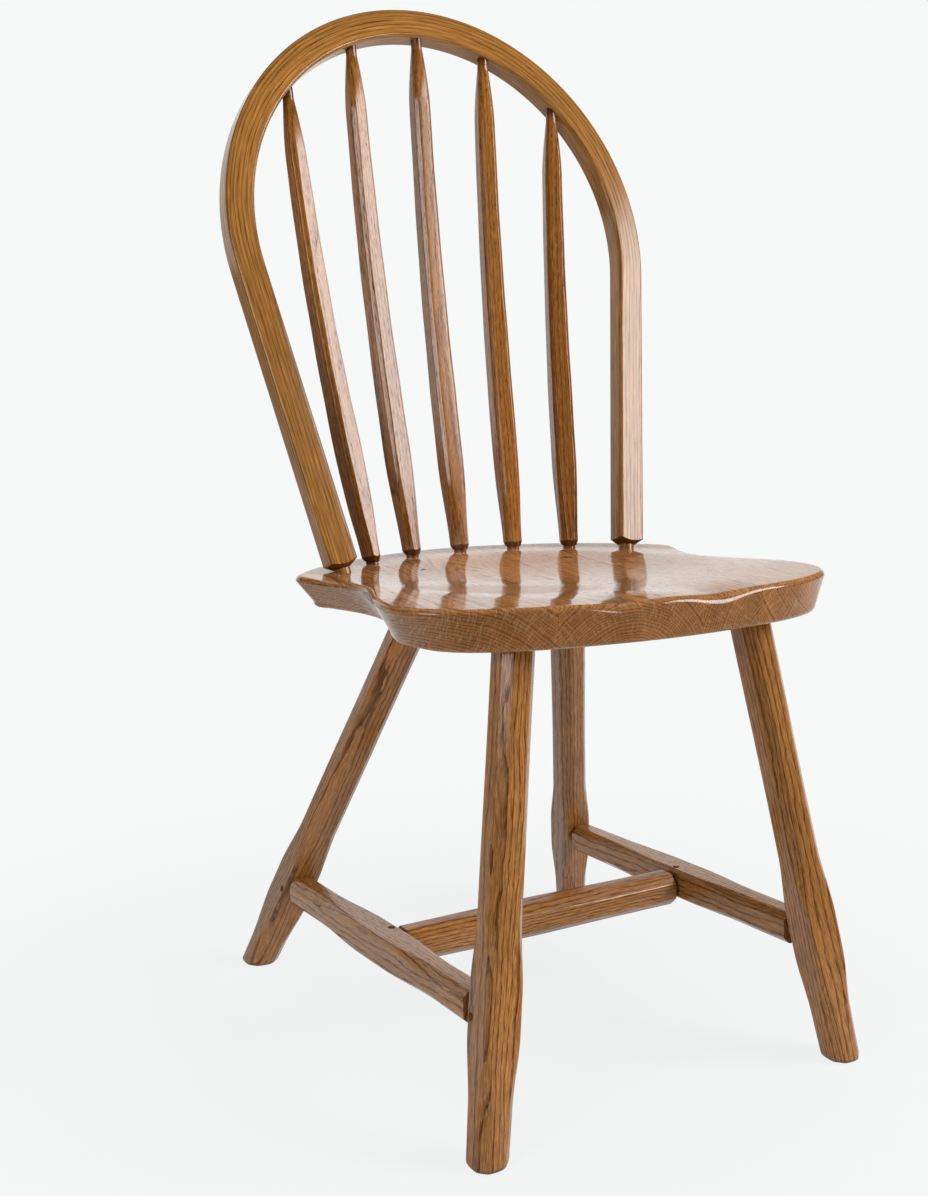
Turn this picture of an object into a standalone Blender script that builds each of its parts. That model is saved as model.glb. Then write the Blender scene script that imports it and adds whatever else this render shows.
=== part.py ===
"""Hoop-back side chair in stained oak, modelled piece by piece as it would come apart on a bench.

The chair stands on the floor at z = 0 and faces -Y, with the sitter's back to +Y.
All sizes are in metres.
"""
import math

import bmesh
import bpy
from mathutils import Vector
from mathutils.geometry import interpolate_bezier

# Fits
FIT_GAP = 0.0003
SOCKET_RUNOUT = 0.012

# Seat
SEAT_HEIGHT = 0.445
SEAT_THICKNESS = 0.032
SEAT_BACK_Y = 0.178
SEAT_CORNER_HALF_WIDTH = 0.217
SEAT_CORNER_Y = 0.078
SEAT_CORNER_ROUND = 0.010
SEAT_WAIST_HALF_WIDTH = 0.193
SEAT_WAIST_Y = -0.012
SEAT_WIDE_HALF_WIDTH = 0.226
SEAT_WIDE_Y = -0.130
SEAT_FRONT_Y = -0.222
SEAT_FRONT_BOW = 0.010
SEAT_FRONT_TURN_X = 0.110
SEAT_FRONT_TURN_SLOPE = 0.16
SEAT_SIDE_UNDERCUT = 0.016
SEAT_FRONT_UNDERCUT = 0.002
SEAT_UNDERCUT_TURN = 0.4
SEAT_BOTTOM_ROUND = 0.005
SEAT_EDGE_ROUND = 0.004
SEAT_FRONT_RISE = 0.0075
SEAT_DECK_DROP = 0.0035
DISH_DEPTH = 0.011
DISH_HALF_WIDTH = 0.185
DISH_HALF_LENGTH = 0.165
DISH_CENTRE_Y = -0.035
SCOOP_DEPTH = 0.003
SCOOP_OFFSET = 0.050
SCOOP_HALF_WIDTH = 0.030
SCOOP_LENGTH = 0.100
SCOOP_ROLL = 0.005
BOARD_JOINTS_X = (-0.110, 0.030, 0.098)

# Ring of sockets along the back of the seat
BACK_ARC_RADIUS = 0.240
BACK_ARC_CENTRE_Y = -0.092
BACK_ARC_STEP = math.radians(14.4)
SPINDLE_COUNT = 5

# Hoop
HOOP_RECLINE = math.radians(17.0)
HOOP_RADIUS = 0.223
HOOP_CENTRE_RISE = 0.3372
HOOP_WIDTH = 0.029
HOOP_DEPTH = 0.0200
HOOP_CHAMFER = 0.0020
HOOP_NECK = 0.005
HOOP_SHOULDER = 0.005
HOOP_TENON_RADIUS = 0.0085
HOOP_TENON_LENGTH = 0.026
HOOP_ARC_STEPS = 28

# Spindles
SPINDLE_TOP_STEP = 0.0765
SPINDLE_TOP_FORWARD = 0.003
SPINDLE_BOW = 0.0100
SPINDLE_BOW_SKEW = 1.1
SPINDLE_TURN = 0.5
SPINDLE_FOOT_WIDTH = 0.0185
SPINDLE_BELLY_WIDTH = 0.0220
SPINDLE_UPPER_WIDTH = 0.0172
SPINDLE_NECK_WIDTH = 0.0095
SPINDLE_CHAMFER = 0.0037
SPINDLE_NECK_LENGTH = 0.065
SPINDLE_NECK_STRAIGHT = 0.0085
SPINDLE_FOOT_GAP = 0.0025
SPINDLE_SHOULDER = 0.005
SPINDLE_FOOT_TENON_RADIUS = 0.0065
SPINDLE_FOOT_TENON_LENGTH = 0.022
SPINDLE_TOP_TENON_LENGTH = 0.010
SPINDLE_SWELL_SHARE = 0.22
SPINDLE_TAPER_START = 0.35
SPINDLE_STEPS = 12

# Legs
LEG_WIDTH = 0.0335
LEG_CHAMFER = 0.0085
LEG_JOINT_CHAMFER = 0.0020
LEG_FOOT_BEVEL = 0.003
LEG_STOP_BELOW = 0.015
LEG_STOP_ABOVE = 0.020
LEG_STOP_RUN = 0.060
LEG_TENON_RADIUS = 0.0125
LEG_TENON_LENGTH = 0.024
FRONT_FEET_APART = 0.381
REAR_FEET_APART = 0.401
FEET_DEPTH = 0.473
FRONT_SOCKETS_APART = 0.248
REAR_SOCKETS_APART = 0.167
FRONT_SOCKET_Y = -0.165
REAR_SOCKET_Y = 0.0726

# Stretchers
SIDE_FRONT_HEIGHT = 0.1165
SIDE_REAR_HEIGHT = 0.093
SIDE_WIDTH = 0.0295
SIDE_END_CHAMFER = 0.0065
SIDE_MIDDLE_CHAMFER = 0.0020
SIDE_TENON_RADIUS = 0.010
SIDE_TENON_PAST = 0.007
SIDE_FRONT_GAP = 0.007
SIDE_SQUARE_HALF = 0.025
SIDE_STOP_RUN = 0.090
CROSS_Y = -0.015
CROSS_DROP = 0.0045
CROSS_END_WIDTH = 0.0325
CROSS_MIDDLE_WIDTH = 0.034
CROSS_CHAMFER = 0.0085
CROSS_SHOULDER = 0.005
CROSS_TENON_RADIUS = 0.007
CROSS_TENON_PAST = 0.005

# Locking pins
PIN_RADIUS = 0.003
PIN_LENGTH = 0.024
PIN_PROUD = 0.0004
PIN_SETBACK = 0.0065
PIN_DROP = 0.003

# Colours
SEAT_COLOUR = (0.30, 0.155, 0.075)
HOOP_COLOUR = (0.36, 0.18, 0.065)
SPINDLE_COLOUR = (0.30, 0.15, 0.06)
LEG_COLOUR = (0.27, 0.135, 0.055)
STRETCHER_COLOUR = (0.25, 0.125, 0.055)
PIN_COLOUR = (0.16, 0.07, 0.03)

# Shaping
SECTION_POINTS = 16
SHOULDER_TAPER = 0.84
QUARTER_ROUND = ((0.0, 1.0), (0.3, 0.3), (1.0, 0.0))
STEEPEST_SLANT = 0.6
DISH_RINGS = 12
DISH_FALL = 1.5
CURVE_HANDLE = 0.33
TURN_HANDLE = 0.55
BLANK_MARGIN = 1.2
SMOOTH_BELOW = math.radians(20)

UP = Vector((0, 0, 1))
ACROSS = Vector((1, 0, 0))
BACKWARD = Vector((0, 1, 0))
SIDES = {-1: "left", 1: "right"}


def clear_scene():
    """Empty the scene before the chair is made."""
    for obj in list(bpy.data.objects):
        bpy.data.objects.remove(obj, do_unlink=True)


def new_collection(name):
    """Make a collection under the scene's own."""
    collection = bpy.data.collections.new(name)
    bpy.context.scene.collection.children.link(collection)
    return collection


def oak(name, colour):
    """Stained oak under a satin lacquer."""
    material = bpy.data.materials.new(name + "_oak")
    material.use_nodes = True
    shader = material.node_tree.nodes["Principled BSDF"]
    shader.inputs["Base Color"].default_value = (*colour, 1)
    shader.inputs["Roughness"].default_value = 0.35
    shader.inputs["Metallic"].default_value = 0.0
    return material


def add_object(name, mesh, collection):
    """Put a mesh in the scene under a name."""
    obj = bpy.data.objects.new(name, mesh)
    collection.objects.link(obj)
    return obj


def loft(name, rings, collection):
    """One closed body through rings of equally many points, capped at both ends."""
    mesh = bpy.data.meshes.new(name)
    bm = bmesh.new()
    loops = [[bm.verts.new(point) for point in ring] for ring in rings]
    for lower, upper in zip(loops, loops[1:]):
        for here in range(len(lower)):
            after = (here + 1) % len(lower)
            bm.faces.new((lower[here], lower[after], upper[after], upper[here]))
    bm.faces.new(reversed(loops[0]))
    bm.faces.new(loops[-1])
    bmesh.ops.recalc_face_normals(bm, faces=bm.faces)
    bm.to_mesh(mesh)
    bm.free()
    mesh.shade_smooth()
    mesh.set_sharp_from_angle(angle=SMOOTH_BELOW)
    return add_object(name, mesh, collection)


def as_cutter(obj):
    """Keep a cutting solid out of the finished chair."""
    obj.hide_render = True
    obj.display_type = 'WIRE'
    return obj


def cut(obj, cutter, operation='DIFFERENCE'):
    """Cut one solid with another."""
    boolean = obj.modifiers.new(cutter.name, 'BOOLEAN')
    boolean.object = cutter
    boolean.operation = operation
    boolean.solver = 'EXACT'


def finish(obj, colour):
    """Give a piece its own oak."""
    obj.data.materials.append(oak(obj.name, colour))
    return obj


def square_section(width, depth, chamfer):
    """A rectangle with cut corners, point by point from the middle of its +u side."""
    u = width / 2
    v = depth / 2
    right = [(u, 0), (u, v - chamfer), (u - chamfer / 2, v - chamfer / 2), (u - chamfer, v)]
    left = [(0, v), (chamfer - u, v), (chamfer / 2 - u, v - chamfer / 2), (-u, v - chamfer)]
    return right + left + [(-a, -b) for a, b in right + left]


def round_section(radius):
    """A circle with as many points as the squared sections have."""
    angles = [2 * math.pi * k / SECTION_POINTS for k in range(SECTION_POINTS)]
    return [(radius * math.cos(angle), radius * math.sin(angle)) for angle in angles]


def axes_across(tangent, depth_hint):
    """The two section axes square to a tangent, the second one nearest to the hint."""
    deep = (depth_hint - tangent * depth_hint.dot(tangent)).normalized()
    return deep.cross(tangent), deep


def ring(section, point, tangent, depth_hint):
    """A section placed square to the path at a point."""
    across, deep = axes_across(tangent, depth_hint)
    return [point + across * u + deep * v for u, v in section]


def slid_to_height(points, axis, height):
    """Slide points along an axis until they lie on a level plane."""
    return [point + axis * ((height - point.z) / axis.z) for point in points]


def socket_cutter(name, start, end, radius, depth_hint):
    """A round hole with clearance, from its open end to its floor."""
    axis = (end - start).normalized()
    section = round_section(radius + FIT_GAP)
    floor = end + axis * FIT_GAP
    mouth = start - axis * SOCKET_RUNOUT
    rings = [ring(section, point, axis, depth_hint) for point in (mouth, floor)]
    return as_cutter(loft(name, rings, CUTTERS))


def on_side(point, side):
    """A point of the right half, or its mirror image on the left."""
    return Vector((point.x * side, point.y, point.z))


def smooth_step(value):
    """Ease from 0 to 1."""
    clipped = min(max(value, 0.0), 1.0)
    return clipped * clipped * (3 - 2 * clipped)


def mix(a, b, share):
    """Blend two numbers."""
    return a + (b - a) * share


# Seat

SEAT_BOTTOM = SEAT_HEIGHT - SEAT_THICKNESS


def in_scoop(x, y):
    """How far into a thigh scoop at the front a point of the plan lies, from 0 to 1."""
    to_front = smooth_step((SEAT_FRONT_Y + SCOOP_LENGTH - y) / SCOOP_LENGTH)
    return to_front * math.exp(-((abs(x) - SCOOP_OFFSET) / SCOOP_HALF_WIDTH) ** 2)


def seat_top(x, y):
    """Height of the saddled seat: a raised back edge, a dish, and a scoop for each thigh at the front."""
    span = (x / DISH_HALF_WIDTH) ** 2 + ((y - DISH_CENTRE_Y) / DISH_HALF_LENGTH) ** 2
    dish = DISH_DEPTH * max(1 - span, 0) ** DISH_FALL
    scoop = SCOOP_DEPTH * in_scoop(x, y)
    rise = SEAT_FRONT_RISE * smooth_step((SEAT_CORNER_Y - y) / (SEAT_CORNER_Y - SEAT_WIDE_Y))
    back_radius = SEAT_BACK_Y - BACK_ARC_CENTRE_Y
    from_back = back_radius - math.hypot(x, y - BACK_ARC_CENTRE_Y)
    deck = SEAT_DECK_DROP * smooth_step(from_back / (back_radius - BACK_ARC_RADIUS))
    return SEAT_HEIGHT + rise - deck - dish - scoop


def seat_outline():
    """The seat's plan, clockwise from the middle of the back and back to it."""
    corner = Vector((SEAT_CORNER_HALF_WIDTH, SEAT_CORNER_Y))
    waist = Vector((SEAT_WAIST_HALF_WIDTH, SEAT_WAIST_Y))
    wide = Vector((SEAT_WIDE_HALF_WIDTH, SEAT_WIDE_Y))
    back = Vector((0, SEAT_BACK_Y))
    front = Vector((0, SEAT_FRONT_Y))
    side_run = Vector((0, 1))
    back_slope = Vector((BACK_ARC_CENTRE_Y - SEAT_CORNER_Y, SEAT_CORNER_HALF_WIDTH)).normalized()
    before = corner + back_slope * SEAT_CORNER_ROUND
    side_slope = (waist - corner).normalized()
    after = corner + side_slope * SEAT_CORNER_ROUND
    turn = Vector((SEAT_FRONT_TURN_X, SEAT_FRONT_Y + SEAT_FRONT_BOW))
    turn_slope = Vector((1, SEAT_FRONT_TURN_SLOPE)).normalized()
    back_reach = before.x * CURVE_HANDLE
    round_reach = SEAT_CORNER_ROUND * TURN_HANDLE
    waist_reach = (after - waist).length * CURVE_HANDLE
    wide_reach = (waist - wide).length * CURVE_HANDLE
    side_reach = (wide.y - turn.y) * TURN_HANDLE
    turn_reach = (wide.x - turn.x) * TURN_HANDLE
    front_reach = turn.x * CURVE_HANDLE
    spans = (
        (back, back + ACROSS.xy * back_reach, before + back_slope * back_reach, before, 14),
        (before, before - back_slope * round_reach, after - side_slope * round_reach, after, 4),
        (after, after + side_slope * waist_reach, waist + side_run * waist_reach, waist, 7),
        (waist, waist - side_run * wide_reach, wide + side_run * wide_reach, wide, 8),
        (wide, wide - side_run * side_reach, turn + turn_slope * turn_reach, turn, 8),
        (turn, turn - turn_slope * front_reach, front + ACROSS.xy * front_reach, front, 12),
    )
    half = []
    for knot_a, handle_a, handle_b, knot_b, steps in spans:
        half += interpolate_bezier(knot_a, handle_a, handle_b, knot_b, steps + 1)[:-1]
    mirrored = [Vector((-point.x, point.y)) for point in half[1:]]
    return half + [front] + mirrored[::-1]


def outward_normals(outline):
    """Unit normals of a clockwise outline."""
    normals = []
    for here in range(len(outline)):
        run = outline[(here + 1) % len(outline)] - outline[here - 1]
        normals.append(Vector((-run.y, run.x)).normalized())
    return normals


def seat_form():
    """The whole seat as one solid, before it is parted into boards and drilled."""
    outline = seat_outline()
    normals = outward_normals(outline)
    centre = Vector((0, (SEAT_BACK_Y + SEAT_FRONT_Y) / 2))
    spokes = [(point - centre).normalized() for point in outline]
    slants = [max(spoke.dot(normal), STEEPEST_SLANT) for spoke, normal in zip(spokes, normals)]

    def inset(distances):
        reaches = [distance / slant for distance, slant in zip(distances, slants)]
        return [point - spoke * reach for point, spoke, reach in zip(outline, spokes, reaches)]

    to_front = [(-normal.y - SEAT_UNDERCUT_TURN) / (1 - SEAT_UNDERCUT_TURN) for normal in normals]
    undercut = [mix(SEAT_SIDE_UNDERCUT, SEAT_FRONT_UNDERCUT, smooth_step(share)) for share in to_front]
    rings = []
    for share, lift in reversed(QUARTER_ROUND):
        plan = inset([reach + share * SEAT_BOTTOM_ROUND for reach in undercut])
        rings.append([Vector((*point, SEAT_BOTTOM + lift * SEAT_BOTTOM_ROUND)) for point in plan])
    rolls = [SEAT_EDGE_ROUND + SCOOP_ROLL * in_scoop(*point) for point in outline]
    for share, drop in QUARTER_ROUND:
        plan = inset([share * roll for roll in rolls])
        rings.append([Vector((*point, seat_top(*point) - drop * roll)) for point, roll in zip(plan, rolls)])
    rim = inset(rolls)
    for step in range(1, DISH_RINGS):
        plan = [point.lerp(centre, step / DISH_RINGS) for point in rim]
        rings.append([Vector((*point, seat_top(*point))) for point in plan])
    return as_cutter(loft("seat_form", rings, CUTTERS))


def seat_boards(form):
    """The boards of the seat, from left to right."""
    reach = SEAT_WIDE_HALF_WIDTH * BLANK_MARGIN
    edges = [-reach, *BOARD_JOINTS_X, reach]
    length = (SEAT_BACK_Y - SEAT_FRONT_Y) * BLANK_MARGIN
    middle_y = (SEAT_BACK_Y + SEAT_FRONT_Y) / 2
    middle_z = SEAT_HEIGHT - SEAT_THICKNESS / 2
    boards = []
    for number, (left, right) in enumerate(zip(edges, edges[1:]), start=1):
        name = f"seat_board_{number}"
        mesh = bpy.data.meshes.new(name)
        bm = bmesh.new()
        bmesh.ops.create_cube(bm, size=1)
        bmesh.ops.scale(bm, vec=(right - left - FIT_GAP, length, SEAT_THICKNESS * 2), verts=bm.verts)
        bm.to_mesh(mesh)
        bm.free()
        board = add_object(name, mesh, CHAIR)
        board.location = ((left + right) / 2, middle_y, middle_z)
        cut(board, form, 'INTERSECT')
        boards.append(finish(board, SEAT_COLOUR))
    return boards


# Hoop

HOOP_UP = Vector((0, math.sin(HOOP_RECLINE), math.cos(HOOP_RECLINE)))
HOOP_BACK = Vector((0, math.cos(HOOP_RECLINE), -math.sin(HOOP_RECLINE)))


def arc_point(steps):
    """A point on the seat's back arc, counted in socket steps from the middle."""
    angle = steps * BACK_ARC_STEP
    x = BACK_ARC_RADIUS * math.sin(angle)
    y = BACK_ARC_CENTRE_Y + BACK_ARC_RADIUS * math.cos(angle)
    return Vector((x, y, seat_top(x, y)))


HOOP_FOOT = arc_point((SPINDLE_COUNT + 1) / 2)
HOOP_ORIGIN = Vector((0, HOOP_FOOT.y, HOOP_FOOT.z))


def hoop_plane(x, rise):
    """A point of the hoop's middle plane."""
    return HOOP_ORIGIN + ACROSS * x + HOOP_UP * rise


def hoop_arc(angle):
    """A point of the hoop's round part, by its angle about the arc's centre."""
    return hoop_plane(HOOP_RADIUS * math.cos(angle), HOOP_CENTRE_RISE + HOOP_RADIUS * math.sin(angle))


def hoop_leg():
    """Where the straight leg of the hoop meets its arc, as an angle about the arc's centre."""
    reach = math.hypot(HOOP_FOOT.x, HOOP_CENTRE_RISE)
    return math.acos(HOOP_RADIUS / reach) - math.atan2(HOOP_CENTRE_RISE, HOOP_FOOT.x)


def hoop(foot_cutters):
    """The bent bow: one arc on two straight legs, each ending in a shoulder and a round tenon."""
    start = hoop_leg()
    tangent_point = hoop_arc(start)
    leg_run = (tangent_point - HOOP_FOOT).normalized()
    leg_length = (tangent_point - HOOP_FOOT).length
    body = square_section(HOOP_WIDTH, HOOP_DEPTH, HOOP_CHAMFER)
    tenon = round_section(HOOP_TENON_RADIUS)
    shoulder = HOOP_NECK + HOOP_SHOULDER
    stations = [(-HOOP_TENON_LENGTH, tenon), (HOOP_NECK, tenon)]
    stations += [(HOOP_NECK, round_section(HOOP_DEPTH / 2)), (shoulder, body), (leg_length / 2, body)]
    rings = [ring(section, HOOP_FOOT + leg_run * along, leg_run, HOOP_BACK) for along, section in stations]
    for step in range(HOOP_ARC_STEPS // 2):
        angle = mix(start, math.pi / 2, step / (HOOP_ARC_STEPS // 2))
        tangent = HOOP_UP * math.cos(angle) - ACROSS * math.sin(angle)
        rings.append(ring(body, hoop_arc(angle), tangent, HOOP_BACK))
    rings.append(ring(body, hoop_arc(math.pi / 2), -ACROSS, HOOP_BACK))
    rings += [[on_side(point, -1) for point in one] for one in rings[-2::-1]]
    bow = finish(loft("hoop", rings, CHAIR), HOOP_COLOUR)
    for side in (-1, 1):
        name = f"hoop_socket_{SIDES[side]}"
        mouth = on_side(HOOP_FOOT, side)
        floor = on_side(HOOP_FOOT - leg_run * HOOP_TENON_LENGTH, side)
        foot_cutters.append(socket_cutter(name, mouth, floor, HOOP_TENON_RADIUS, HOOP_BACK))
    return bow


# Spindles


def spindle_facing(number):
    """The way the back of a spindle faces: part of the way round with the seat's back arc."""
    turn = (number - (SPINDLE_COUNT + 1) / 2) * BACK_ARC_STEP * SPINDLE_TURN
    return Vector((math.sin(turn), math.cos(turn), 0))


def spindle_path(number):
    """The bowed centre line of a spindle, as a function of the share of its length."""
    steps = number - (SPINDLE_COUNT + 1) / 2
    foot = arc_point(steps)
    inner_radius = HOOP_RADIUS - HOOP_WIDTH / 2
    top_x = steps * SPINDLE_TOP_STEP
    top = hoop_plane(top_x, HOOP_CENTRE_RISE + math.sqrt(inner_radius ** 2 - top_x ** 2))
    top -= HOOP_BACK * SPINDLE_TOP_FORWARD
    _, bow_way = axes_across((top - foot).normalized(), spindle_facing(number))

    def point_at(share):
        bow = SPINDLE_BOW * math.sin(math.pi * share ** SPINDLE_BOW_SKEW)
        return foot + (top - foot) * share + bow_way * bow

    return point_at


def tangent_at(path, share, step=0.001):
    """Direction of a path, within its ends."""
    before = max(share - step, 0)
    after = min(share + step, 1)
    return (path(after) - path(before)).normalized()


def spindle(number, seat_cutters, hoop_cutters):
    """One stick of the back: a chamfered body that swells low down, a thin neck, a tenon at each end."""
    name = f"spindle_{number}"
    path = spindle_path(number)
    facing = spindle_facing(number)
    length = (path(1) - path(0)).length
    foot_run = tangent_at(path, 0)
    top_run = tangent_at(path, 1)
    foot_end = path(0) - foot_run * SPINDLE_FOOT_TENON_LENGTH
    top_end = path(1) + top_run * SPINDLE_TOP_TENON_LENGTH
    foot_tenon = round_section(SPINDLE_FOOT_TENON_RADIUS)
    neck_radius = SPINDLE_NECK_WIDTH / 2
    neck = round_section(neck_radius)
    shoulder_height = path(0).z + SPINDLE_FOOT_GAP
    rings = [ring(foot_tenon, foot_end, foot_run, facing)]
    for section in (foot_tenon, round_section(SPINDLE_FOOT_WIDTH * SHOULDER_TAPER / 2)):
        rings.append(slid_to_height(ring(section, path(0), foot_run, facing), foot_run, shoulder_height))
    body_start = (SPINDLE_FOOT_GAP + SPINDLE_SHOULDER) / length
    body_end = 1 - SPINDLE_NECK_LENGTH / length
    for step in range(SPINDLE_STEPS + 1):
        rise = step / SPINDLE_STEPS
        share = mix(body_start, body_end, rise)
        swell = smooth_step(rise / SPINDLE_SWELL_SHARE)
        thinning = max(rise - SPINDLE_TAPER_START, 0) / (1 - SPINDLE_TAPER_START)
        width = mix(mix(SPINDLE_FOOT_WIDTH, SPINDLE_BELLY_WIDTH, swell), SPINDLE_UPPER_WIDTH, thinning)
        section = square_section(width, width, SPINDLE_CHAMFER)
        rings.append(ring(section, path(share), tangent_at(path, share), facing))
    neck_base = 1 - SPINDLE_NECK_STRAIGHT / length
    rings.append(ring(neck, path(neck_base), tangent_at(path, neck_base), facing))
    rings.append(ring(neck, path(1), top_run, facing))
    rings.append(ring(neck, top_end, top_run, facing))
    stick = finish(loft(name, rings, CHAIR), SPINDLE_COLOUR)
    foot_socket = socket_cutter(name + "_foot_socket", path(0), foot_end, SPINDLE_FOOT_TENON_RADIUS, facing)
    top_socket = socket_cutter(name + "_top_socket", path(1), top_end, neck_radius, facing)
    seat_cutters.append(foot_socket)
    hoop_cutters.append(top_socket)
    return stick


# Legs


class Leg:
    """The line of one leg and the axes of its section."""

    def __init__(self, end, side):
        front = end == "front"
        feet = FRONT_FEET_APART if front else REAR_FEET_APART
        sockets = FRONT_SOCKETS_APART if front else REAR_SOCKETS_APART
        foot_y = -FEET_DEPTH / 2 if front else FEET_DEPTH / 2
        socket_y = FRONT_SOCKET_Y if front else REAR_SOCKET_Y
        self.name = f"leg_{end}_{SIDES[side]}"
        self.side = side
        self.foot = Vector((side * feet / 2, foot_y, 0))
        self.socket = Vector((side * sockets / 2, socket_y, SEAT_BOTTOM))
        self.axis = (self.socket - self.foot).normalized()
        self.across, self.deep = axes_across(self.axis, BACKWARD)
        self.inward = self.deep if front else -self.deep
        self.joint = self.at_height(SIDE_FRONT_HEIGHT if front else SIDE_REAR_HEIGHT)

    def at_height(self, height):
        """The point of the leg's line at a height above the floor."""
        return self.foot + self.axis * (height / self.axis.z)


def leg(line, seat_cutters):
    """Square stock whose chamfers stop short of the stretcher joint, with a round tenon at the top."""
    full = square_section(LEG_WIDTH, LEG_WIDTH, LEG_CHAMFER)
    plain = square_section(LEG_WIDTH, LEG_WIDTH, LEG_JOINT_CHAMFER)
    half = square_section(LEG_WIDTH, LEG_WIDTH, mix(LEG_JOINT_CHAMFER, LEG_CHAMFER, 0.5))
    sole_width = LEG_WIDTH - 2 * LEG_FOOT_BEVEL
    sole = square_section(sole_width, sole_width, LEG_CHAMFER * sole_width / LEG_WIDTH)
    tenon = round_section(LEG_TENON_RADIUS)
    seat_line = SEAT_BOTTOM - FIT_GAP

    def square_to_axis(section, point):
        return ring(section, point, line.axis, BACKWARD)

    def level(section, height):
        return slid_to_height(square_to_axis(section, line.at_height(height)), line.axis, height)

    rings = [level(sole, 0), level(full, LEG_FOOT_BEVEL)]
    for offset, section in (
        (-LEG_STOP_BELOW - LEG_STOP_RUN, full), (-LEG_STOP_BELOW - LEG_STOP_RUN / 2, half),
        (-LEG_STOP_BELOW, plain), (LEG_STOP_ABOVE, plain),
        (LEG_STOP_ABOVE + LEG_STOP_RUN / 2, half), (LEG_STOP_ABOVE + LEG_STOP_RUN, full),
    ):
        rings.append(square_to_axis(section, line.joint + line.axis * offset))
    rings.append(level(full, seat_line))
    tenon_end = line.socket + line.axis * LEG_TENON_LENGTH
    rings.append(level(tenon, seat_line))
    rings.append(square_to_axis(tenon, tenon_end))
    post = finish(loft(line.name, rings, CHAIR), LEG_COLOUR)
    socket = socket_cutter(line.name + "_socket", line.socket, tenon_end, LEG_TENON_RADIUS, BACKWARD)
    seat_cutters.append(socket)
    return post


# Stretchers and pins


def clear_of_face(run, face_normal, face_distance, half_width):
    """How far along a run a square end of a bar must stop to stay clear of a face."""
    across, deep = axes_across(run, UP)
    corner = half_width * (abs(across.dot(face_normal)) + abs(deep.dot(face_normal)))
    return (face_distance + FIT_GAP + corner) / run.dot(face_normal)


def pin(name, centre, out, depth_hint, surface_distance, cut_pieces):
    """A peg driven in from a face, through the tenon behind it."""
    head = centre + out * (surface_distance + PIN_PROUD)
    tip = head - out * PIN_LENGTH
    section = round_section(PIN_RADIUS)
    rings = [ring(section, point, out, depth_hint) for point in (tip, head)]
    peg = finish(loft(name, rings, CHAIR), PIN_COLOUR)
    hole = socket_cutter(name + "_hole", head, tip, PIN_RADIUS, depth_hint)
    for piece in cut_pieces:
        cut(piece, hole)
    return peg


def side_stretcher(side, legs):
    """The rail between a rear and a front leg, square where the cross rail joins it."""
    rear = legs["rear", side]
    front = legs["front", side]
    name = f"side_stretcher_{SIDES[side]}"
    run = (front.joint - rear.joint).normalized()
    rear_stop = clear_of_face(run, rear.inward, LEG_WIDTH / 2, SIDE_WIDTH / 2)
    front_stop = clear_of_face(-run, front.inward, LEG_WIDTH / 2, SIDE_WIDTH / 2)
    end = square_section(SIDE_WIDTH, SIDE_WIDTH, SIDE_END_CHAMFER)
    middle = square_section(SIDE_WIDTH, SIDE_WIDTH, SIDE_MIDDLE_CHAMFER)
    between = square_section(SIDE_WIDTH, SIDE_WIDTH, mix(SIDE_END_CHAMFER, SIDE_MIDDLE_CHAMFER, 0.5))
    tenon = round_section(SIDE_TENON_RADIUS)
    length = (front.joint - rear.joint).length
    crossing = (CROSS_Y - rear.joint.y) / run.y
    square_start = crossing - SIDE_SQUARE_HALF
    square_end = crossing + SIDE_SQUARE_HALF
    front_end = length - front_stop - SIDE_FRONT_GAP
    stations = [(-SIDE_TENON_PAST, tenon), (rear_stop, tenon), (rear_stop, end)]
    stations += [(square_start - SIDE_STOP_RUN, end), (square_start - SIDE_STOP_RUN / 2, between)]
    stations += [(square_start, middle), (square_end, middle)]
    stations += [(square_end + SIDE_STOP_RUN / 2, between), (square_end + SIDE_STOP_RUN, end)]
    stations += [(front_end, end), (front_end, tenon), (length + SIDE_TENON_PAST, tenon)]
    rings = [ring(section, rear.joint + run * along, run, UP) for along, section in stations]
    rail = finish(loft(name, rings, CHAIR), STRETCHER_COLOUR)
    for post, toward in ((rear, -run), (front, run)):
        mouth = post.joint - toward * rear_stop
        floor = post.joint + toward * SIDE_TENON_PAST
        leg_piece = bpy.data.objects[post.name]
        cut(leg_piece, socket_cutter(f"{post.name}_mortise", mouth, floor, SIDE_TENON_RADIUS, UP))
        inset = (LEG_WIDTH / 2 - PIN_SETBACK) / abs(toward.dot(post.inward))
        centre = post.joint - toward * inset - post.axis * PIN_DROP
        outward = post.across * post.side
        face = LEG_WIDTH / 2 - (centre - post.joint).dot(outward)
        pin(post.name.replace("leg", "leg_pin"), centre, outward, UP, face, (leg_piece, rail))
    return rail, rear.joint + run * crossing


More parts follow.
